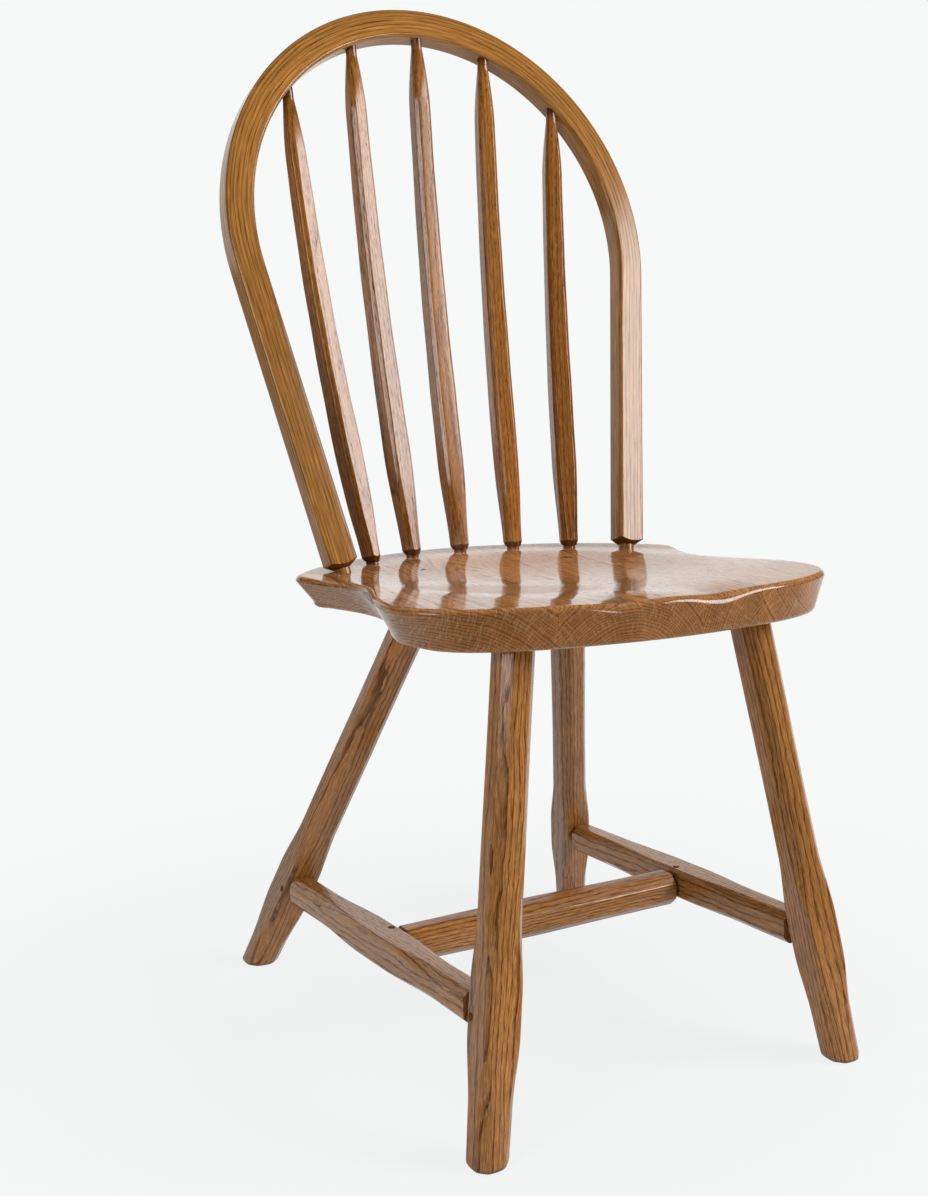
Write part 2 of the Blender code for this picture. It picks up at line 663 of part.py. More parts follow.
def cross_stretcher(rails):
    """The rail between the two side rails, a little below their middles."""
    (left_rail, left_crossing), (right_rail, right_crossing) = rails
    left = left_crossing - UP * CROSS_DROP
    right = right_crossing - UP * CROSS_DROP
    run = (right - left).normalized()
    stop = SIDE_WIDTH / 2 + FIT_GAP
    length = (right - left).length
    end = square_section(CROSS_END_WIDTH, CROSS_END_WIDTH, CROSS_CHAMFER)
    middle = square_section(CROSS_MIDDLE_WIDTH, CROSS_MIDDLE_WIDTH, CROSS_CHAMFER)
    tip = round_section(CROSS_END_WIDTH * SHOULDER_TAPER / 2)
    tenon = round_section(CROSS_TENON_RADIUS)
    half = [(-CROSS_TENON_PAST, tenon), (stop, tenon), (stop, tip), (stop + CROSS_SHOULDER, end)]
    stations = half + [(length / 2, middle)] + [(length - along, section) for along, section in half[::-1]]
    rings = [ring(section, left + run * along, run, UP) for along, section in stations]
    rail = finish(loft("cross_stretcher", rings, CHAIR), STRETCHER_COLOUR)
    for side, side_rail, point in ((-1, left_rail, left), (1, right_rail, right)):
        toward = run * side
        mouth = point - toward * stop
        floor = point + toward * CROSS_TENON_PAST
        cut(side_rail, socket_cutter(f"cross_mortise_{SIDES[side]}", mouth, floor, CROSS_TENON_RADIUS, UP))
        centre = point - toward * (SIDE_WIDTH / 2 - PIN_SETBACK)
        face = SIDE_WIDTH / 2 + CROSS_DROP
        pin(f"stretcher_pin_{SIDES[side]}", centre, UP, BACKWARD, face, (side_rail, rail))
    return rail


def centre_front_to_back(pieces):
    """Move the chair so that its foremost and rearmost points lie equally far from the origin."""
    depths = [vertex.co.y for piece in pieces for vertex in piece.data.vertices]
    shift = (min(depths) + max(depths)) / 2
    for obj in (*CHAIR.objects, *CUTTERS.objects):
        obj.location.y -= shift


def build_chair():
    """Make every piece, then drill what receives it."""
    seat_cutters = []
    hoop_cutters = []
    boards = seat_boards(seat_form())
    bow = hoop(seat_cutters)
    for number in range(1, SPINDLE_COUNT + 1):
        spindle(number, seat_cutters, hoop_cutters)
    legs = {(end, side): Leg(end, side) for end in ("front", "rear") for side in SIDES}
    posts = [leg(line, seat_cutters) for line in legs.values()]
    for board in boards:
        for cutter in seat_cutters:
            cut(board, cutter)
    for cutter in hoop_cutters:
        cut(bow, cutter)
    rails = [side_stretcher(side, legs) for side in SIDES]
    cross_stretcher(rails)
    centre_front_to_back([bow, *posts])


clear_scene()
CHAIR = new_collection("hoop_back_chair")
CUTTERS = new_collection("cutters")
build_chair()
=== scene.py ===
"""Looks for a hoop-back side chair in stained oak.

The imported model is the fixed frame. Every piece of wood is rebuilt around it with eased edges, and each
carries its own grain space, in metres from the pith of the log it was sawn from, so that rings, pores and
rays run through the piece as they do in solid oak. The chair faces -Y and stands on the floor at z = 0.
"""
import logging
import math
from dataclasses import dataclass, field
from enum import Enum
from functools import cached_property
from typing import Callable, Optional, Sequence

import bmesh
import bpy
from mathutils import Matrix, Vector
from mathutils.geometry import interpolate_bezier


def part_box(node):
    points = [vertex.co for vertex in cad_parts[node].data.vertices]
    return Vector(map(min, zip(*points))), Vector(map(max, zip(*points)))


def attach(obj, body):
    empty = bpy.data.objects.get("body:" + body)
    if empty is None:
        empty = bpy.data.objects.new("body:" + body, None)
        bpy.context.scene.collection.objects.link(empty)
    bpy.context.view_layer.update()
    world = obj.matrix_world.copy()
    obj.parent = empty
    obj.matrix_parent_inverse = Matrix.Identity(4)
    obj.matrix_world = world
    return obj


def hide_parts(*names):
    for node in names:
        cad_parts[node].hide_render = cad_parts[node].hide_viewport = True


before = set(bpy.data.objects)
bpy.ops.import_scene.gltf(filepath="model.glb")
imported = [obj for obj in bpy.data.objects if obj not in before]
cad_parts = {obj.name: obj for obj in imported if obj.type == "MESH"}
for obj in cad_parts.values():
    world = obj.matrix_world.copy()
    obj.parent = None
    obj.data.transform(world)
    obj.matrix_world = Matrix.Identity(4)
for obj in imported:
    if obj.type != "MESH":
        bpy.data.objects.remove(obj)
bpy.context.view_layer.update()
LOG = logging.getLogger("chair")

Material = bpy.types.Material
Piece = bpy.types.Object
Socket = bpy.types.NodeSocket
Tree = bpy.types.NodeTree
Pair = tuple[float, float]
Triple = tuple[float, float, float]
Section = list[Pair]
Row = tuple[float, Section, float]

UP = Vector((0, 0, 1))
ACROSS = Vector((1, 0, 0))
BACKWARD = Vector((0, 1, 0))
# Where a mixing node keeps its colour among its outputs.
MIXED_COLOUR = 2
# Edges that turn by more than this stay sharp in the shading.
SHARP_ANGLE = math.radians(50)
# The plain run behind a cut edge that keeps its stain from spreading.
CUT_RUN = 0.0006
# The largest share of an edge that easing takes at either end.
EASE_LIMIT = 0.4
# Extra points along a broad face.
FACE_POINTS = (0.25, 0.5, 0.75)


class Slot(Enum):
    """The record's material slots."""

    SEAT = "seat_oak"
    HOOP = "hoop_oak"
    SPINDLE = "spindle_oak"
    LEG = "leg_oak"
    STRETCHER = "stretcher_oak"
    PIN = "pin_oak"


class Place(Enum):
    """A place on the chair that the nodes' names give."""

    @property
    def word(self) -> str:
        """The place as the nodes write it."""
        return self.name.lower()


class Side(Place):
    """The two sides of the chair, seen from its front."""

    LEFT = -1
    RIGHT = 1


class End(Place):
    """The two ends of the chair."""

    FRONT = -1
    REAR = 1


def linear(hex_colour: str) -> tuple[float, float, float, float]:
    """Turn an sRGB hex value to linear colour.

    Args:
        hex_colour: six hex digits after a hash sign.

    Returns:
        Red, green, blue and an alpha of 1.
    """
    channels = [int(hex_colour[k:k + 2], 16) / 255 for k in (1, 3, 5)]
    spread = [c / 12.92 if c <= 0.04045 else ((c + 0.055) / 1.055) ** 2.4 for c in channels]
    return (spread[0], spread[1], spread[2], 1.0)


def smooth_step(value: float) -> float:
    """Ease from 0 to 1."""
    clipped = min(max(value, 0.0), 1.0)
    return clipped * clipped * (3 - 2 * clipped)


def mix(a: float, b: float, share: float) -> float:
    """Blend two numbers."""
    return a + (b - a) * share


def add_node(tree: Tree, kind: str, inputs: Optional[dict] = None, **settings: object) -> bpy.types.Node:
    """Add a node with its settings and links.

    Args:
        tree: the node tree that takes the node.
        kind: the node's type, without its ShaderNode prefix.
        inputs: values or linked sockets, by the input's identifier.
        settings: the node's own properties.

    Returns:
        The new node.
    """
    node = tree.nodes.new("ShaderNode" + kind)
    for name, value in settings.items():
        setattr(node, name, value)
    sockets = {socket.identifier: socket for socket in node.inputs}
    for name, value in (inputs or {}).items():
        if isinstance(value, Socket):
            tree.links.new(value, sockets[name])
        else:
            sockets[name].default_value = value
    return node


# Finishes


@dataclass(frozen=True)
class StainedOak:
    """Plain-sawn oak, cut by hand, wiped with a brown stain and sprayed with satin lacquer.

    The eye gets golden late wood between dark porous early wood, short dark pores along the grain, pale
    rays across the rings, darker end grain, and a soft sheen that turns white at low angles. Sizes are in
    metres. Pores are drawn about three times as coarse as the real ones, so that they show.
    """

    name: str
    late_wood: str = "#A0661F"
    early_wood: str = "#6B3D10"
    pore: str = "#42210A"
    ray: str = "#B98546"
    end_grain: str = "#8C7766"
    ring_pitch: float = 0.0034
    ring_contrast: float = 0.75
    ring_group: float = 4.0
    ring_jitter: float = 2.2
    early_share: float = 0.55
    wander: float = 0.012
    wander_length: float = 0.28
    wander_girth: float = 0.045
    wander_detail: float = 4.0
    pore_length: float = 0.026
    pore_width: float = 0.0010
    pore_depth: float = 0.85
    pore_cut: float = 0.51
    pore_edge: float = 0.06
    late_pores: float = 0.35
    ray_length: float = 0.014
    ray_width: float = 0.0011
    ray_strength: float = 0.25
    ray_girth: float = 0.07
    ray_cut: Pair = (0.54, 0.66)
    ray_detail: float = 0.5
    fibre_length: float = 0.030
    fibre_width: float = 0.0008
    fibre_cut: Pair = (0.32, 0.68)
    fibre_shade: Pair = (0.60, 1.38)
    fibre_relief: float = 0.25
    tone_length: float = 0.35
    tone_girth: float = 0.050
    tone_cut: Pair = (0.30, 0.70)
    tone_shade: Pair = (0.78, 1.20)
    streak_detail: float = 3.0
    noise_roughness: float = 0.6
    roughness: float = 0.40
    pore_roughness: float = 0.25
    relief: float = 0.30
    relief_depth: float = 0.0004
    ior: float = 1.5
    lacquer: float = 1.0
    pore_gloss: float = 0.25
    lacquer_roughness: float = 0.20

    def material(self) -> Material:
        """Build the finish.

        Returns:
            A material that reads the mesh's grain and soak attributes.
        """
        material = bpy.data.materials.new(self.name)
        material.use_nodes = True
        tree = material.node_tree
        tree.nodes.clear()
        grain = add_node(tree, "Attribute", attribute_name="grain").outputs["Vector"]
        soak = add_node(tree, "Attribute", attribute_name="soak").outputs["Fac"]
        bent = self._bent(tree, grain)
        parts = add_node(tree, "SeparateXYZ", {"Vector": bent}).outputs
        flat = add_node(tree, "VectorMath", {"Vector": bent, "Vector_001": (0, 1, 1)}, operation='MULTIPLY')
        reach = add_node(tree, "VectorMath", {"Vector": flat.outputs["Vector"]}, operation='LENGTH')
        radius = reach.outputs["Value"]
        early = self._early_wood(tree, radius)
        pores = self._pores(tree, bent, early)
        rays = self._rays(tree, parts, radius)
        fibre_sizes = (self.fibre_length, self.fibre_width, self.fibre_width)
        fibre = self._streaks(tree, bent, fibre_sizes, self.fibre_cut, self.streak_detail)
        tone_sizes = (self.tone_length, self.tone_girth, self.tone_girth)
        tone = self._streaks(tree, grain, tone_sizes, self.tone_cut, self.streak_detail)
        layers = (
            (early, self.ring_contrast, self.early_wood),
            (rays, self.ray_strength, self.ray),
            (pores, self.pore_depth, self.pore),
        )
        shades = ((fibre, self.fibre_shade), (tone, self.tone_shade))
        rough = add_node(tree, "MapRange", {
            "Value": pores, "To Min": self.roughness, "To Max": self.roughness + self.pore_roughness,
        })
        gloss = add_node(tree, "MapRange", {
            "Value": pores, "To Min": self.lacquer, "To Max": self.lacquer * self.pore_gloss,
        })
        nap = add_node(tree, "Math", {"Value": fibre, "Value_001": self.fibre_relief}, operation='MULTIPLY')
        height = add_node(tree, "Math", {"Value": nap.outputs[0], "Value_001": pores}, operation='SUBTRACT')
        bump = add_node(tree, "Bump", {
            "Height": height.outputs[0], "Strength": self.relief, "Distance": self.relief_depth,
        }).outputs["Normal"]
        # Only the lacquer mirrors: the wood under it is dull.
        shader = add_node(tree, "BsdfPrincipled", {
            "Base Color": self._colour(tree, layers, soak, shades), "Roughness": rough.outputs["Result"],
            "IOR": self.ior, "Metallic": 0.0, "Specular IOR Level": 0.0, "Normal": bump,
            "Coat Weight": gloss.outputs["Result"], "Coat Roughness": self.lacquer_roughness,
            "Coat IOR": self.ior, "Coat Normal": bump,
        })
        add_node(tree, "OutputMaterial", {"Surface": shader.outputs["BSDF"]})
        return material

    def _bent(self, tree: Tree, grain: Socket) -> Socket:
        """Give the grain space the slow wander of a real trunk.

        Args:
            tree: the material's nodes.
            grain: the straight grain space.

        Returns:
            The bent grain space.
        """
        slow = self._scaled(tree, grain, (self.wander_length, self.wander_girth, self.wander_girth))
        noise = add_node(tree, "TexNoise", {
            "Vector": slow, "Scale": 1.0, "Detail": self.wander_detail, "Roughness": self.noise_roughness,
        })
        centred = add_node(tree, "VectorMath", {
            "Vector": noise.outputs["Color"], "Vector_001": (0.5, 0.5, 0.5),
        }, operation='SUBTRACT')
        bent = add_node(tree, "VectorMath", {
            "Vector": centred.outputs["Vector"], "Vector_001": (0, self.wander, self.wander),
            "Vector_002": grain,
        }, operation='MULTIPLY_ADD')
        return bent.outputs["Vector"]

    @staticmethod
    def _scaled(tree: Tree, space: Socket, sizes: Triple) -> Socket:
        """Measure a grain space in a pattern's own sizes.

        Args:
            tree: the material's nodes.
            space: the grain space.
            sizes: the pattern's length, width and depth.

        Returns:
            The space in which each of them is 1.
        """
        shares = tuple(1 / size for size in sizes)
        scaled = add_node(tree, "VectorMath", {"Vector": space, "Vector_001": shares}, operation='MULTIPLY')
        return scaled.outputs["Vector"]

    def _streaks(self, tree: Tree, space: Socket, sizes: Triple, cut: Pair, detail: float) -> Socket:
        """Soft streaks of a given size.

        Args:
            tree: the material's nodes.
            space: the grain space that they run in.
            sizes: their length, width and depth.
            cut: the noise levels at which a streak begins and is full.
            detail: how many finer layers the noise has.

        Returns:
            The streaks, from 0 to 1.
        """
        noise = add_node(tree, "TexNoise", {
            "Vector": self._scaled(tree, space, sizes), "Scale": 1.0, "Detail": detail,
            "Roughness": self.noise_roughness,
        })
        streaks = add_node(tree, "MapRange", {
            "Value": noise.outputs["Fac"], "From Min": cut[0], "From Max": cut[1],
        })
        return streaks.outputs["Result"]

    def _early_wood(self, tree: Tree, radius: Socket) -> Socket:
        """How porous the wood is, ring by ring, with rings of uneven width.

        Args:
            tree: the material's nodes.
            radius: distance from the pith.

        Returns:
            1 at the start of each ring, falling to 0 in its late wood.
        """
        uneven = add_node(tree, "TexNoise", {
            "W": radius, "Scale": 1 / (self.ring_group * self.ring_pitch), "Detail": 1.0,
        }, noise_dimensions='1D')
        count = add_node(tree, "Math", {
            "Value": radius, "Value_001": 1 / self.ring_pitch,
        }, operation='MULTIPLY')
        phase = add_node(tree, "Math", {
            "Value": uneven.outputs["Fac"], "Value_001": self.ring_jitter, "Value_002": count.outputs[0],
        }, operation='MULTIPLY_ADD')
        within = add_node(tree, "Math", {"Value": phase.outputs[0]}, operation='FRACT')
        early = add_node(tree, "MapRange", {
            "Value": within.outputs[0], "From Min": 0.0, "From Max": self.early_share,
            "To Min": 1.0, "To Max": 0.0,
        }, interpolation_type='SMOOTHSTEP')
        return early.outputs["Result"]

    def _pores(self, tree: Tree, bent: Socket, early: Socket) -> Socket:
        """Short open pores along the grain, most of them in the early wood.

        Args:
            tree: the material's nodes.
            bent: the bent grain space.
            early: how porous the wood is.

        Returns:
            The pores, from 0 to 1.
        """
        sizes = (self.pore_length, self.pore_width, self.pore_width)
        cut = (self.pore_cut, self.pore_cut + self.pore_edge)
        dashes = self._streaks(tree, bent, sizes, cut, self.streak_detail)
        crowd = add_node(tree, "MapRange", {"Value": early, "To Min": self.late_pores, "To Max": 1.0})
        pores = add_node(tree, "Math", {
            "Value": dashes, "Value_001": crowd.outputs["Result"],
        }, operation='MULTIPLY', use_clamp=True)
        return pores.outputs[0]

    def _rays(self, tree: Tree, parts: bpy.types.bpy_prop_collection, radius: Socket) -> Socket:
        """Pale rays that run out from the pith, across the rings.

        Args:
            tree: the material's nodes.
            parts: the three parts of the bent grain space.
            radius: distance from the pith.

        Returns:
            The rays, from 0 to 1.
        """
        angle = add_node(tree, "Math", {"Value": parts["Z"], "Value_001": parts["Y"]}, operation='ARCTAN2')
        girth = add_node(tree, "Math", {
            "Value": angle.outputs[0], "Value_001": self.ray_girth,
        }, operation='MULTIPLY')
        space = add_node(tree, "CombineXYZ", {"X": parts["X"], "Y": girth.outputs[0], "Z": radius})
        sizes = (self.ray_length, self.ray_width, self.ray_length)
        return self._streaks(tree, space.outputs["Vector"], sizes, self.ray_cut, self.ray_detail)

    def _colour(
        self, tree: Tree, layers: Sequence[tuple[Socket, float, str]], soak: Socket,
        shades: Sequence[tuple[Socket, Pair]],
    ) -> Socket:
        """Layer the stain's colours by what each part of the wood takes up.

        Args:
            tree: the material's nodes.
            layers: where each colour lies over the late wood, its strength and its hex value.
            soak: how far the colour is drawn toward the end grain's, from stain taken up by the wood and,
                on a few parts, painted shade.
            shades: patterns that darken and lighten, each with its two levels.

        Returns:
            The colour under the lacquer.
        """
        colour = linear(self.late_wood)
        for share, strength, shade in layers:
            amount = add_node(tree, "Math", {"Value": share, "Value_001": strength}, operation='MULTIPLY')
            colour = add_node(tree, "Mix", {
                "Factor_Float": amount.outputs[0], "A_Color": colour, "B_Color": linear(shade),
            }, data_type='RGBA').outputs[MIXED_COLOUR]
        # Stain in end grain and joints, and on a few parts painted shade, darken the colour toward the end
        # grain colour.
        colour = add_node(tree, "Mix", {
            "Factor_Float": soak, "A_Color": colour, "B_Color": linear(self.end_grain),
        }, data_type='RGBA', blend_type='MULTIPLY').outputs[MIXED_COLOUR]
        for share, (dark, light) in shades:
            level = add_node(tree, "MapRange", {"Value": share, "To Min": dark, "To Max": light})
            colour = add_node(tree, "VectorMath", {
                "Vector": colour, "Scale": level.outputs["Result"],
            }, operation='SCALE').outputs["Vector"]
        return colour


# The seat's boards are rubbed smooth: a clear mirror over wide figure, with pale rays on the end grain.
SEAT_FINISH = StainedOak(
    "stained_oak_seat", late_wood="#BA7C46", early_wood="#6E4630", ray="#D8B084", end_grain="#A4A2A8",
    ring_pitch=0.0027, wander=0.008, pore_length=0.020, pore_width=0.0008, pore_depth=0.6, pore_cut=0.55,
    ray_strength=0.42, ray_length=0.011, ray_width=0.0006, relief=0.06, lacquer_roughness=0.08,
)
# The hoop is straight-grained wood, steamed and bent: long fine lines follow the bow under an even sheen.
HOOP_FINISH = StainedOak(
    "stained_oak_bent_hoop", late_wood="#AC7537", early_wood="#643D1C", ring_pitch=0.0030,
    ring_contrast=0.45, wander=0.005, pore_length=0.045, pore_width=0.0006, pore_depth=0.75,
    pore_cut=0.49, pore_gloss=0.6, relief=0.05, lacquer_roughness=0.14,
)
# The spindles are shaved by hand: short cut fibres and pores on every facet, which break the shine.
SPINDLE_FINISH = StainedOak(
    "stained_oak_spindle", late_wood="#A0662C", early_wood="#5C3616", ring_contrast=0.5, pore_length=0.007,
    pore_width=0.0007, pore_cut=0.53, pore_gloss=0.1, fibre_length=0.010, relief=0.05,
    lacquer_roughness=0.12,
)
# The legs are fast-grown wood, sawn and chamfered: wide dark rings with a wavy run, and a duller sheen.
LEG_FINISH = StainedOak(
    "stained_oak_leg", late_wood="#A8713C", early_wood="#5C3418", pore="#4E260E", ring_pitch=0.0042,
    ring_contrast=0.85, early_share=0.40, wander=0.011, wander_length=0.15, pore_length=0.018,
    pore_width=0.0007, pore_depth=0.95, pore_gloss=0.35, fibre_length=0.012, relief=0.15,
    lacquer_roughness=0.16,
)
# The stretchers are worked as the legs are, from wood that is a shade paler and closer in its rings.
STRETCHER_FINISH = StainedOak(
    "stained_oak_stretcher", late_wood="#AE763E", early_wood="#5C3618", pore="#4A240E", ring_contrast=0.8,
    early_share=0.42, wander_length=0.16, pore_length=0.018, pore_width=0.0007, pore_depth=0.95,
    pore_gloss=0.35, fibre_length=0.012, relief=0.15, lacquer_roughness=0.16,
)
# The pins are whittled pegs: their end grain drinks the stain and stays dark and nearly matt.
PIN_FINISH = StainedOak("dark_oak_pin", late_wood="#6A4020", early_wood="#4A2A12", lacquer=0.2)


# Shaping


@dataclass(frozen=True)
class Billet:
    """Where a piece was sawn from the log: how far its middle lies from the pith, and how it is turned."""

    across: float
    deep: float
    turn: float = 0.0
    start: float = 0.0

    def on_side(self, side: Side) -> "Billet":
        """The matching billet for one side of the chair."""
        sign = side.value
        return Billet(self.across, self.deep * sign, self.turn * sign, self.start + sign)

    def grain(self, along: float, u: float, v: float) -> Vector:
        """The grain coordinates of a point of the piece.

        Args:
            along: distance along the piece.
            u: distance across its width.
            v: distance through its depth.

        Returns:
            Distance along the log, and the two distances from its pith.
        """
        c, s = math.cos(self.turn), math.sin(self.turn)
        return Vector((self.start + along, self.across + u * c - v * s, self.deep + u * s + v * c))


@dataclass(frozen=True)
class Sawing:
    """How a set of alike pieces was sawn from a log, each at another place around the pith."""

    reach: float
    swing: float
    turn: float
    start: float

    def billet(self, number: int) -> Billet:
        """The billet of one piece of the set.

        Args:
            number: the piece's number in the set.

        Returns:
            The billet, at a distance from the pith that all of them share.
        """
        across = self.reach * math.cos(self.swing * number)
        deep = self.reach * math.sin(self.swing * number)
        return Billet(across, deep, self.turn * number, self.start + number)


@dataclass(frozen=True)
class Wobble:
    """The unevenness that a hand tool leaves along a cut."""

    amount: float
    rate: float

    def at(self, place: float, phase: float) -> float:
        """How far the cut is off at a place, as a share of its size."""
        return self.amount * math.sin(self.rate * place + phase)


@dataclass
class Station:
    """One section of a piece of wood, square to its run.

    A level slides all its points along the run to one height. A lift raises those that lie farther out, as
    a rounded shoulder does where it meets flat faces.
    """

    point: Vector
    run: Vector
    section: Section
    along: float
    soak: float = 0.0
    level: Optional[float] = None
    lift: float = 0.0

    def ring(self, hint: Vector) -> list[Vector]:
        """The section's points in the chair's frame.

        Args:
            hint: the direction that the section's depth follows.

        Returns:
            One point for each of the section's own.
        """
        deep = (hint - self.run * hint.dot(self.run)).normalized()
        across = deep.cross(self.run)
        least = min(math.hypot(u, v) for u, v in self.section)
        points = []
        for u, v in self.section:
            rise = (math.hypot(u, v) - least) * self.lift
            points.append(self.point + across * u + deep * v + self.run * rise)
        if self.level is not None:
            points = [point + self.run * ((self.level - point.z) / self.run.z) for point in points]
        return points


def chamfered(width: float, depth: float, chamfer: float, ease: float) -> Section:
    """A rectangle with cut corners, whose eight edges are eased.

    Args:
        width: size across.
        depth: size through.
        chamfer: how far each corner is cut back along both faces.
        ease: how far the easing reaches from each edge.

    Returns:
        Three points for each edge and three along each broad face, counter-clockwise.
    """
    u, v = width / 2, depth / 2
    half = [(u, v - chamfer), (u - chamfer, v), (chamfer - u, v), (-u, v - chamfer)]
    corners = [Vector(point) for point in half + [(-a, -b) for a, b in half]]
    points = []
    for index, corner in enumerate(corners):
        following = corners[(index + 1) % len(corners)]
        before, after = corners[index - 1] - corner, following - corner
        reach = min(ease, before.length * EASE_LIMIT, after.length * EASE_LIMIT)
        first, last = corner + before.normalized() * reach, corner + after.normalized() * reach
        points += [first, (first + corner * 2 + last) / 4, last]
        if index % 2:
            ahead = following - after.normalized() * reach
            points += [last.lerp(ahead, share) for share in FACE_POINTS]
    return [(point.x, point.y) for point in points]


def rounded(section: Section, radius: float) -> Section:
    """A circle whose points lie in the same directions as a section's."""
    return [(u * radius / math.hypot(u, v), v * radius / math.hypot(u, v)) for u, v in section]


def scaled(section: Section, share: float) -> Section:
    """A section drawn larger or smaller."""
    return [(u * share, v * share) for u, v in section]


def between(first: Section, last: Section, share: float) -> Section:
    """A section part of the way from one to another."""
    return [(mix(a, c, share), mix(b, d, share)) for (a, b), (c, d) in zip(first, last)]


def straight(start: Vector, run: Vector, rows: Sequence[Row]) -> list[Station]:
    """Sections on a straight line, from rows of distance, section and soak."""
    return [Station(start + run * along, run, section, along, soak) for along, section, soak in rows]


def mesh_object(
    name: str, points: Sequence[Vector], faces: Sequence[Sequence[int]], grain: Sequence[Vector],
    soak: Sequence[float],
) -> Piece:
    """Make an object that carries its grain space.

    Args:
        name: the piece's name.
        points: its vertices.
        faces: vertex numbers of each face.
        grain: the grain coordinates of each vertex.
        soak: how dark each vertex is drawn, from 0 to 1: stain taken up by the wood, and on a few parts
            painted shade.

    Returns:
        The object, linked to the scene.
    """
    mesh = bpy.data.meshes.new(name)
    mesh.from_pydata([tuple(point) for point in points], [], [tuple(face) for face in faces])
    vectors = mesh.attributes.new("grain", 'FLOAT_VECTOR', 'POINT')
    vectors.data.foreach_set("vector", [value for item in grain for value in item])
    amounts = mesh.attributes.new("soak", 'FLOAT', 'POINT')
    amounts.data.foreach_set("value", list(soak))
    mesh.shade_smooth()
    mesh.set_sharp_from_angle(angle=SHARP_ANGLE)
    piece = bpy.data.objects.new(name, mesh)
    bpy.context.scene.collection.objects.link(piece)
    weighted = piece.modifiers.new("face_weighted_shading", 'WEIGHTED_NORMAL')
    weighted.keep_sharp = True
    return piece


def loft(name: str, stations: Sequence[Station], hint: Vector, billet: Billet) -> Piece:
    """One closed body through a row of sections.

    Args:
        name: the piece's name.
        stations: its sections, from one end to the other.
        hint: the direction that the sections' depth follows.
        billet: where in the log the piece lay.

    Returns:
        The object.
    """
    points, grain, soak, faces = [], [], [], []
    count = len(stations[0].section)
    for station in stations:
        points += station.ring(hint)
        grain += [billet.grain(station.along, u, v) for u, v in station.section]
        soak += [station.soak] * count
    for ring in range(len(stations) - 1):
        low, high = ring * count, (ring + 1) * count
        for here in range(count):
            after = (here + 1) % count
            faces.append((low + here, low + after, high + after, high + here))
    faces.append(tuple(reversed(range(count))))
    faces.append(tuple(range(len(points) - count, len(points))))
    return mesh_object(name, points, faces, grain, soak)


def dress(piece: Piece, node: str, slot: Slot, material: Material) -> Piece:
    """Give a piece its finish and set it on the frame in place of a node.

    Args:
        piece: the piece.
        node: the node that it replaces.
        slot: not used.
        material: the finish.

    Returns:
        The same piece.
    """
    piece.data.materials.append(material)
    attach(piece, "root")
    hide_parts(node)
    return piece


# Seat


